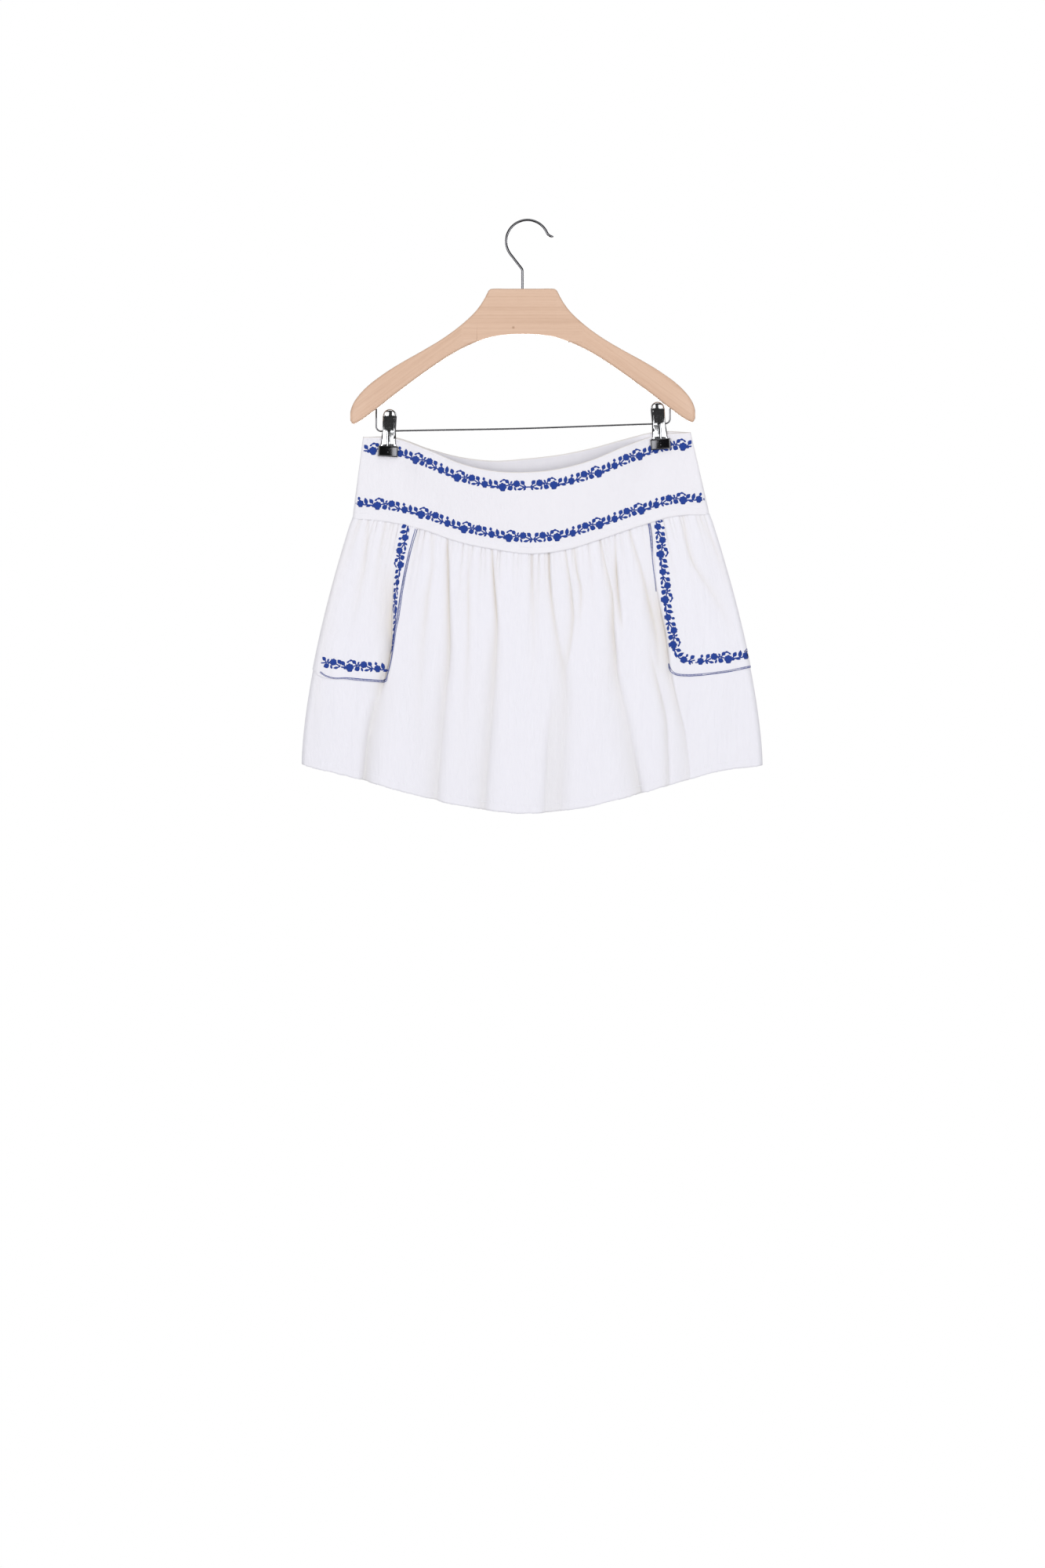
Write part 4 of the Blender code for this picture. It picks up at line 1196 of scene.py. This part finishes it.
pocketStrips = {
    "pocket_left": [
        {"line": [(-154.8, 387.5), (-155.8, 390.7), (-158.3, 407.7), (-161.3, 421.7), (-164.3, 440.7),
                  (-166.3, 454.7), (-168.3, 477.7), (-169, 499.7), (-169.8, 517.7), (-171.3, 534.7),
                  (-173.3, 549.7)],
         "flower": 51.5,
         "narrowing": [(0, 1), (33, 0.95), (50, 0.82), (65, 0.62), (78, 0.52), (88, 0.46), (110, 0.36),
                       (128, 0.27), (145, 0.14), (160, 0.08)]},
        {"line": [(-178.5, 569.5), (-192.8, 569), (-208.8, 568), (-226.8, 567), (-238.3, 565.8)],
         "flower": 48.3},
        {"line": [(-238.3, 565.8), (-247.3, 564.8), (-260.3, 563.2), (-264, 562.2)],
         "flower": 27.5},
    ],
    "pocket_right": [
        {"line": [(165.5, 376.5), (166.2, 379.7), (168.2, 388.7), (169.7, 405.7), (172.2, 424.7),
                  (174.7, 448.7), (176.2, 464.7), (178.2, 485.7), (181.2, 507.7), (184.7, 522.7),
                  (187.7, 539.7), (191.2, 550.7), (197.2, 557.2), (205.2, 559.2), (213.9, 560.2)],
         "flower": 48.5},
        {"line": [(213.9, 560.2), (223.2, 559.2), (237.2, 557.7), (256.2, 556.2), (271.2, 553.7),
                  (285, 551)],
         "flower": 42.4},
    ],
}
ladders = {
    "pocket_left": [
        {"line": [(-141.8, 392.7), (-146.3, 407.7), (-149.8, 420.7), (-153.8, 437.7), (-157.3, 454.7),
                  (-160.8, 474.7), (-165.3, 506.7), (-167.8, 517.7), (-170.3, 537.7), (-173.3, 557.7),
                  (-177.3, 574.7), (-180.8, 587.2), (-192.8, 586.2), (-212.8, 584.7), (-232.8, 582.7),
                  (-244.8, 583.2), (-252.8, 581.7), (-259.8, 578.7), (-265, 574.2)],
         "narrowing": [(0, 1), (115, 1), (127, 0.8), (147, 0.45), (165, 0.35), (190, 0.35), (198, 1),
                       (240, 0.9), (255, 0.6), (290, 0.6)]},
    ],
    "pocket_right": [
        {"line": [(153.7, 379.7), (156.2, 389.7), (157.7, 402.7), (158.7, 412.7), (159.2, 427.7),
                  (160.7, 442.7), (162.7, 457.7), (164.2, 472.7)],
         "narrowing": [(0, 1), (34, 1), (44, 0.4), (100, 0.3)]},
        {"line": [(180.1, 564), (181.2, 569.7), (184.2, 574.7), (189.2, 577.7), (195.2, 578.7),
                  (207.2, 579.2), (227.2, 577.7), (257.2, 573.7), (285, 567.7)],
         "narrowing": [(0, 0.4), (6, 0.85), (300, 0.85)]},
    ],
}
ladderForm = {
    "width": 2.4 * mm,
    "pitch": 1.27 * mm,
    "slant": 0.25 * mm,
    "rails": (0.85 * mm, 0.55 * mm),
    "railStep": 1.6 * mm,
    "rung": 0.60 * mm,
}


def pocketGround(node):
    return Ground(pocketPieces[node], skirtPieces["skirt_front"])


def embroiderPocket(node):
    ground = pocketGround(node)
    thread = Thread(f"vine_{node}")
    for strip in pocketStrips[node]:
        band = FaceBand(ground, strip, 4)
        for k in range(4):
            start = band.spare + (strip["flower"] + k * vine["repeat"]) * mm
            stitchVine(thread, band, start, -1, pockets[node]["way"], band.spare, band.length - band.spare)
    thread.build(blueThread, "thread")


def stitchLadder(node):
    # Two rails and their rungs along the pocket's edge, drawn together where a fold nearly hides them
    thread, half = Thread(f"ladder_{node}"), ladderForm["width"] / 2
    for ladder in ladders[node]:
        band = FaceBand(pocketGround(node), ladder, 1)
        low, high = band.spare, band.length - band.spare
        alongs = np.arange(low, high, ladderForm["railStep"])
        for aside, rail in zip((-half, half), ladderForm["rails"]):
            for k in range(0, len(alongs) - 1, 8):
                run = [(along, aside) for along in alongs[k:k + 9]]
                thread.add(band, strandRings(run, rail), 0.0, 1, 0.0, 1)
        for along in np.arange(low, high, ladderForm["pitch"]):
            rung = [(along, -half), (along + ladderForm["slant"], half)]
            thread.add(band, strandRings(rung, ladderForm["rung"]), 0.0, 1, 0.0, 1)
    thread.build(blueThread, "thread")


for node in pocketStrips:
    embroiderPocket(node)
    stitchLadder(node)
print("pockets embroidered")


# White topstitching beside the yoke's edges and above the hem

topstitch = {
    "length": 2.3 * mm,
    "pitch": 3.1 * mm,
    "width": 0.45 * mm,
    "startGap": 1.0 * mm,
    "endGap": 3.0 * mm,
    "hem": 0.0100,                        # above the hem's edge
}


def stitchEdges(side, sideName):
    yoke = Ground(yokePieces[f"yoke_{sideName}"])
    skirt = Ground(skirtPieces[f"skirt_{sideName}"])
    across = np.linspace(-0.985, 0.985, 600)
    top, seam, hem = topDrop[side](across), seamDrop(side, across), hemDrop(side, across)
    lines = {
        "waist": (yoke, yokeForm["edgeStitch"] / (seam - top)),
        "seam": (yoke, 1.0 - yokeForm["seamStrip"] / (seam - top)),
        "hem": (skirt, 2.0 - topstitch["hem"] / (hem - seam)),
    }
    for lineName, (ground, level) in lines.items():
        thread = Thread(f"topstitch_{lineName}_{sideName}")
        band = Band(ground, tubePoints(side, across, level), side)
        for along in np.arange(topstitch["startGap"], band.length - topstitch["endGap"], topstitch["pitch"]):
            stitch = [(along, 0.0), (along + topstitch["length"], 0.0)]
            thread.add(band, strandRings(stitch, topstitch["width"]), 0.0, 1, 0.0, -side)
        thread.build(whiteThread, "cloth")


stitchEdges(-1, "front")
stitchEdges(1, "back")
print("edges topstitched")


# The wooden arch

arch = {
    "middle": -0.0060,
    "sectionRows": [                      # from the middle outwards: out, upper and lower drop, thickness
        (0, 86.3, 144, 13.5), (20, 86.3, 144.8, 13.5), (40.5, 86.5, 147.8, 13.5),
        (43.8, 89, 148.7, 13.5), (48, 97.2, 150.1, 13.5), (54, 107, 152.2, 13.6),
        (62, 117, 155.2, 13.8), (75, 129.2, 161, 14.2), (90, 141, 169, 14.8), (105, 151.2, 178.3, 15.5),
        (120, 160.2, 188.5, 16.3), (136, 169.2, 199.8, 17.2), (152, 178, 211.6, 18.2),
        (168, 187.5, 223.5, 19.2), (182, 196.8, 234.5, 19.8), (194, 205.7, 243.5, 19.8),
        (204, 214.8, 250.7, 19.2), (212, 224.2, 255, 18), (217, 232.5, 256.2, 16.4),
        (219.5, 240, 252, 14),
    ],
    "corners": (0.0405, 0.0438),          # the shoulders of the middle block
    "edgeRadii": (3.2 * mm, 5.0 * mm),    # along the upper and the lower edges
    "sections": 110,                      # in each arm
    "jointOut": 0.0760,                   # where an arm's own board begins
    "armSlope": 0.63,                     # the grain's slope in the arms, in radians
    "armBoard": (0.70, 0.31),             # how far off in the timber the arms' boards are taken from
    "leftSag": 2.4 * mm,                  # the left arm's end is a little lower
}


archOuts, *archColumns = np.array(arch["sectionRows"]).T * mm
archCurves = [curveThrough(archOuts, column) for column in archColumns]


def archSection(out):                     # the board's centre, thickness and height so far from its middle
    upper, lower, thick = [float(curve(abs(out))) for curve in archCurves]
    sag = arch["leftSag"] * (min(out, 0.0) / archOuts[-1]) ** 2
    return Vector((arch["middle"] + out, 0.0, -(upper + lower) / 2 - sag)), thick, lower - upper


def extrudeArm(piece, way, outs):         # one arm, drawn out of the block's end face section by section
    selectFaces(piece, lambda face: face.normal.x * way > 0.9)
    place, thick, tall = archSection(way * outs[0])
    for out in outs[1:]:
        last = place, thick, tall
        place, thick, tall = archSection(way * out)
        bpy.ops.mesh.extrude_region_move(TRANSFORM_OT_translate={"value": place - last[0]})
        bpy.ops.transform.resize(value=(1.0, thick / last[1], tall / last[2]), center_override=place)
    bpy.ops.object.mode_set(mode="OBJECT")


def roundArch(piece, upDown, radius):     # rounds the two long edges above (1) or below (-1)
    def onEdge(spot):
        place, thick, tall = archSection(spot.x - arch["middle"])
        away = max(abs(abs(spot.y) - thick / 2), abs(spot.z - place.z - upDown * tall / 2))
        return away < 0.05 * mm

    bpy.ops.object.mode_set(mode="EDIT")
    bpy.ops.mesh.select_mode(type="EDGE")
    bpy.ops.mesh.select_all(action="DESELECT")
    bpy.ops.object.mode_set(mode="OBJECT")
    corner = [onEdge(vertex.co) for vertex in piece.data.vertices]
    for edge in piece.data.edges:
        a, b = edge.vertices
        spots = piece.data.vertices[a].co, piece.data.vertices[b].co
        edge.select = corner[a] and corner[b] and abs(spots[0].x - spots[1].x) > 0.1 * mm
    bpy.ops.object.mode_set(mode="EDIT")
    bpy.ops.mesh.bevel(offset=radius, segments=5, affect="EDGES", clamp_overlap=True)
    bpy.ops.object.mode_set(mode="OBJECT")


def makeArch():
    outs = sorted([*np.linspace(0.0, archOuts[-1], arch["sections"] + 1)[1:], *arch["corners"]])
    place, thick, tall = archSection(0.0)
    bpy.ops.object.select_all(action="DESELECT")
    bpy.ops.mesh.primitive_cube_add(size=1, location=place)
    piece = bpy.context.object
    piece.name = piece.data.name = "beech_arch"
    sized(piece, (2 * outs[0], thick, tall))
    extrudeArm(piece, 1, outs)
    extrudeArm(piece, -1, outs)
    for upDown, radius in zip((1, -1), arch["edgeRadii"]):
        roundArch(piece, upDown, radius)
    grain = []
    for x, y, z in [vertex.co for vertex in piece.data.vertices]:
        out = x - arch["middle"]
        if abs(out) < arch["jointOut"]:
            grain.append((x, z, y))
        else:
            turn, (offAlong, offAside) = math.copysign(arch["armSlope"], out), arch["armBoard"]
            along = x * math.cos(turn) - z * math.sin(turn)
            aside = x * math.sin(turn) + z * math.cos(turn)
            grain.append((along + math.copysign(offAlong, out), aside + offAside, y))
    attribute = piece.data.attributes.new("grain", "FLOAT_VECTOR", "POINT")
    attribute.data.foreach_set("vector", np.array(grain).reshape(-1))
    only(piece)
    bpy.ops.object.shade_smooth_by_angle(angle=math.radians(50))
    return finish(piece, beech, ["hanger_arch"])


makeArch()
print("wooden arch made")


# The wire hook and rod

wires = {
    "hookWire": 1.65 * mm,
    "hookRadius": 0.0272,
    "hookCrown": (0.0, -0.0255),
    "legAngle": 217.8,
    "lipAngle": 24.0,
    "lipEnd": 268.0,
    "lipRadius": 0.0085,
    "tipLength": 0.8 * mm,
    "stemX": -0.0064,
    "stemBend": 0.0060,
    "stemEnd": -0.1000,
    "rodWire": 1.1 * mm,
    "rodLeft": (-0.1928, 0.2678),         # x and the level's drop
    "rodRight": (0.1818, 0.2580),
    "rodSag": 1.3 * mm,
    "rodTops": (0.2200, 0.2160),
    "rodCorner": 0.0062,
    "endShares": [(0, 0.6), (-4, 0.9), (-3, 0.8), (-2, 0.7), (-1, 0.4)],   # how the wire narrows at its ends
}


def arcPoints(centre, radius, start, end, steps):
    angles = np.linspace(start, end, steps + 1)
    return [(centre[0] + radius * math.cos(a), 0.0, centre[1] + radius * math.sin(a)) for a in angles]


def wirePiece(name, path, radius, replaced, material, tapered=False):
    data = bpy.data.curves.new(name, "CURVE")
    data.dimensions = "3D"
    data.bevel_depth = radius
    data.bevel_resolution = 4
    data.use_fill_caps = True
    spline = data.splines.new("POLY")
    spline.points.add(len(path) - 1)
    for point, place in zip(spline.points, path):
        point.co = (*place, 1.0)
    for k, share in wires["endShares"] if tapered else wires["endShares"][:1]:
        spline.points[k].radius = share
    piece = bpy.data.objects.new(name, data)
    bpy.context.collection.objects.link(piece)
    only(piece)
    bpy.ops.object.convert(target="MESH")
    bpy.ops.object.shade_smooth_by_angle(angle=math.radians(50))
    return finish(bpy.context.object, material, replaced)


def makeHook():
    crown, radius = wires["hookCrown"], wires["hookRadius"]
    leg, lip = math.radians(wires["legAngle"]), math.radians(wires["lipAngle"])
    roundPart = arcPoints(crown, radius, leg, lip, 72)
    reach = radius + wires["lipRadius"]
    lipCentre = (crown[0] + reach * math.cos(lip), crown[1] + reach * math.sin(lip))
    lipPart = arcPoints(lipCentre, wires["lipRadius"], lip + math.pi, math.radians(wires["lipEnd"]), 12)
    legWay = (-math.sin(leg), math.cos(leg))
    top = roundPart[0]
    run = (wires["stemX"] - top[0]) / legWay[0]
    cornerZ = top[2] + legWay[1] * run
    turn = math.acos(-legWay[1])
    stemX, stemBend, stemEnd = wires["stemX"], wires["stemBend"], wires["stemEnd"]
    bendCentre = (stemX - stemBend, cornerZ - stemBend * math.tan(turn / 2))
    stem = [(stemX, 0.0, stemEnd), (stemX, 0.0, stemEnd + 0.5 * mm)]
    bend = arcPoints(bendCentre, stemBend, 0.0, turn, 12)
    endX, _, endZ = lipPart[-1]
    path = stem + bend + roundPart + lipPart[1:] + [(endX + wires["tipLength"], 0.0, endZ)]
    wirePiece("chrome_hook", path, wires["hookWire"], ["hanger_hook"], paintedDarkWire, True)


def rodSlope():
    (leftX, leftDrop), (rightX, rightDrop) = wires["rodLeft"], wires["rodRight"]
    return math.atan2(leftDrop - rightDrop, rightX - leftX - 2 * wires["rodCorner"])


def rodHeight(x):
    (leftX, leftDrop), corner, slope = wires["rodLeft"], wires["rodCorner"], rodSlope()
    startX = leftX + corner + corner * math.sin(slope)
    startZ = -leftDrop + corner - corner * math.cos(slope)
    share = min(1.0, max(0.0, (x - startX) / (wires["rodRight"][0] - corner - startX)))
    return startZ + (x - startX) * math.tan(slope) - wires["rodSag"] * math.sin(math.pi * share) ** 2


def makeRod():
    (leftX, leftDrop), (rightX, rightDrop) = wires["rodLeft"], wires["rodRight"]
    corner = wires["rodCorner"]
    turn = 1.5 * math.pi + rodSlope()
    path = [(leftX, 0.0, -wires["rodTops"][0]), (leftX, 0.0, -wires["rodTops"][0] - 0.5 * mm)]
    path += arcPoints((leftX + corner, -leftDrop + corner), corner, math.pi, turn, 12)
    clear = corner + 2 * mm
    path += [(x, 0.0, rodHeight(x)) for x in np.linspace(leftX + clear, rightX - clear, 24)]
    path += arcPoints((rightX - corner, -rightDrop + corner), corner, turn, 2 * math.pi, 12)
    path += [(rightX, 0.0, -wires["rodTops"][1] - 0.5 * mm), (rightX, 0.0, -wires["rodTops"][1])]
    wirePiece("chrome_rod", path, wires["rodWire"], ["hanger_rod"], paintedDarkWire)


makeHook()
makeRod()
print("hook and rod made")


# The two clips: a pair of stamped levers, their jaws and the spring on the rod

clipForm = {
    "places": {"left": (-0.1781, -0.1752), "right": (0.1702, 0.1654)},   # x of the jaws and the rounded end
    "lanes": 37,
    "levels": 76,
    "roundLevels": 22,                    # of them, in the rounded end
    "gripHalf": 8.2 * mm,
    "top": 27.3 * mm,                     # heights are measured from the rod
    "jawTop": -19.3 * mm,
    "jawBottom": -32.8 * mm,
    "heights": [-33.0, -20.0, -19.0, -9.0, 0.0, 9.5, 19.0, 27.5],   # then half width, depth and flange there
    "halfWidths": [12.0, 12.0, 9.8, 8.8, 8.2, 8.2, 8.2, 8.2],
    "depths": [2.7, 2.8, 3.0, 4.2, 5.5, 7.0, 8.7, 8.9],
    "flange": [0.0, 0.0, 0.5, 1.4, 2.3, 2.3, 1.6, 0.8],
    "flangeWidth": 2.2 * mm,
    "dome": (1.5 * mm, 0.7 * mm, 1.7 * mm),   # how far the rounded end falls across, upwards and at its rim
    "bodyHalf": 6.2 * mm,                 # the pressed body
    "ribTop": 1.0 * mm,
    "ribHalf": 6.9 * mm,
    "channel": 2.0 * mm,
    "channelDepth": 0.3 * mm,
    "ridge": 5.2 * mm,
    "roof": 0.30,                         # how steeply each half of the body falls from its ridge
    "sunk": 0.9 * mm,                     # how far the neck between the dome and the two ribs lies back
    "plate": 0.9 * mm,
    "plateBevel": 0.18 * mm,
}


def clipFrame(name):
    jawX, topX = clipForm["places"][name]
    lean = (topX - jawX) / (clipForm["top"] - clipForm["jawBottom"])
    rodX = jawX - lean * clipForm["jawBottom"]
    return rodX, rodHeight(rodX), lean


def leverDepth(height, wide, depth, half, flange, straight):
    # How far out of the clip's middle the pressed plate stands
    grip = clipForm["gripHalf"]
    edge = max(0.0, abs(wide) - half + clipForm["flangeWidth"]) / clipForm["flangeWidth"]
    out = depth - flange * edge**2
    if height > straight:
        across, up = wide / grip, (height - straight) / grip
        rim = max(0.0, math.hypot(across, up) - 0.82) / 0.18
        out -= sum(fall * share**2 for fall, share in zip(clipForm["dome"], (across, up, rim)))
    body = 1.0 - ease((abs(wide) - clipForm["bodyHalf"]) / (1.2 * mm))
    ribbed = ease((clipForm["ribTop"] - height) / (1.2 * mm))
    ribbed *= ease((height - clipForm["jawTop"]) / (2.0 * mm))
    domed = ease((height - straight + 1.6 * mm) / (1.0 * mm))
    rib = min(abs(wide), clipForm["ribHalf"]) - clipForm["channel"]
    ridge = clipForm["roof"] * (clipForm["ridge"] - rib) if rib > 0.0 else -clipForm["channelDepth"]
    return out + (ridge * ribbed - clipForm["sunk"] * (1.0 - domed)) * body


def makeLever(name, side, face):          # a plate laid on its sections, thickened and bevelled
    rodX, rodZ, lean = clipFrame(name)
    scale = np.array(clipForm["heights"]) * mm
    curves = [curveThrough(scale, np.array(clipForm[key]) * mm) for key in ("depths", "halfWidths", "flange")]
    grip, lanes = clipForm["gripHalf"], clipForm["lanes"]
    straight = clipForm["top"] - grip
    levels, roundLevels = clipForm["levels"], clipForm["roundLevels"]
    lower = np.linspace(clipForm["jawBottom"] + 1.0 * mm, straight, levels - roundLevels)
    rounded = straight + grip * np.sin(np.radians(np.linspace(4, 86, roundLevels)))
    spots = []
    for height in [*lower, *rounded][::-side]:
        depth, half, flange = [float(curve(height)) for curve in curves]
        reach = half
        if height > straight:
            reach = math.sqrt(max(grip**2 - (height - straight) ** 2, (0.4 * mm) ** 2))
        for wide in np.linspace(-reach, reach, lanes):
            out = leverDepth(height, wide, depth, half, flange, straight)
            spots.append((rodX + wide + lean * height, side * out, rodZ + height))
    piece = addGrid(f"clip_{name}_lever_{face}", lanes, levels, spots)
    applyModifier(piece, "SOLIDIFY", thickness=clipForm["plate"], offset=0.0)
    applyModifier(piece, "BEVEL", width=clipForm["plateBevel"], segments=2, limit_method="ANGLE",
                  angle_limit=math.radians(50))
    bpy.ops.object.shade_smooth_by_angle(angle=math.radians(40))
    finish(piece, chrome, [f"clip_{name}_{face}"])


jawForm = {
    "half": 12.5 * mm,
    "middle": 3.55 * mm,                  # how far out of the clip's middle
    "thick": 2.9 * mm,
    "rim": 1.0 * mm,
    "sunk": 0.35 * mm,
    "rounding": 0.45 * mm,
    "rivetOut": 4.75 * mm,
    "rivet": 1.0 * mm,
}


def makeJaw(name, side, face):
    # A folded jaw: a bevelled block with a sunk face, and a rivet through it
    rodX, rodZ, lean = clipFrame(name)
    height = clipForm["jawTop"] - clipForm["jawBottom"]
    middle = (clipForm["jawTop"] + clipForm["jawBottom"]) / 2
    x, z = rodX + lean * middle, rodZ + middle
    bpy.ops.object.select_all(action="DESELECT")
    bpy.ops.mesh.primitive_cube_add(size=1, location=(x, side * jawForm["middle"], z),
                                    rotation=(0, math.atan(lean), 0))
    jaw = bpy.context.object
    sized(jaw, (2 * jawForm["half"], jawForm["thick"], height))
    selectFaces(jaw, lambda face: face.normal.y * side > 0.9)
    bpy.ops.mesh.inset(thickness=jawForm["rim"])
    bpy.ops.mesh.inset(thickness=jawForm["sunk"], depth=-jawForm["sunk"])
    bpy.ops.object.mode_set(mode="OBJECT")
    applyModifier(jaw, "BEVEL", width=jawForm["rounding"], segments=3, limit_method="ANGLE",
                  angle_limit=math.radians(35))
    bpy.ops.object.select_all(action="DESELECT")
    bpy.ops.mesh.primitive_uv_sphere_add(segments=24, ring_count=12, radius=jawForm["rivet"],
                                         location=(x, side * jawForm["rivetOut"], z - jawForm["rivet"]))
    sized(bpy.context.object, (1.0, 0.45, 1.0))
    jaw.select_set(True)
    bpy.context.view_layer.objects.active = jaw
    bpy.ops.object.join()
    jaw.name = jaw.data.name = f"clip_{name}_jaw_{face}"
    bpy.ops.object.shade_smooth_by_angle(angle=math.radians(40))
    finish(jaw, paintedDarkerJaws)


springForm = {"turns": 7, "radius": 2.9 * mm, "wire": 0.45 * mm, "length": 9.0 * mm, "steps": 20}


def makeSpring(name):                     # wound round the rod
    rodX = clipFrame(name)[0]
    radius, length, steps = springForm["radius"], springForm["length"], springForm["steps"]
    path = []
    for turn in np.arange(springForm["turns"] * steps + 1) / steps:
        x = rodX + length * (turn / springForm["turns"] - 0.5)
        angle = 2 * math.pi * turn
        path.append((x, radius * math.sin(angle), rodHeight(x) + radius * math.cos(angle)))
    wirePiece(f"clip_{name}_spring", path, springForm["wire"], [f"clip_{name}_sleeve"], chrome)


def makeClip(name):
    for side, face in ((-1, "front"), (1, "back")):
        makeLever(name, side, face)
        makeJaw(name, side, face)
    makeSpring(name)


makeClip("left")
makeClip("right")
print("clips made")
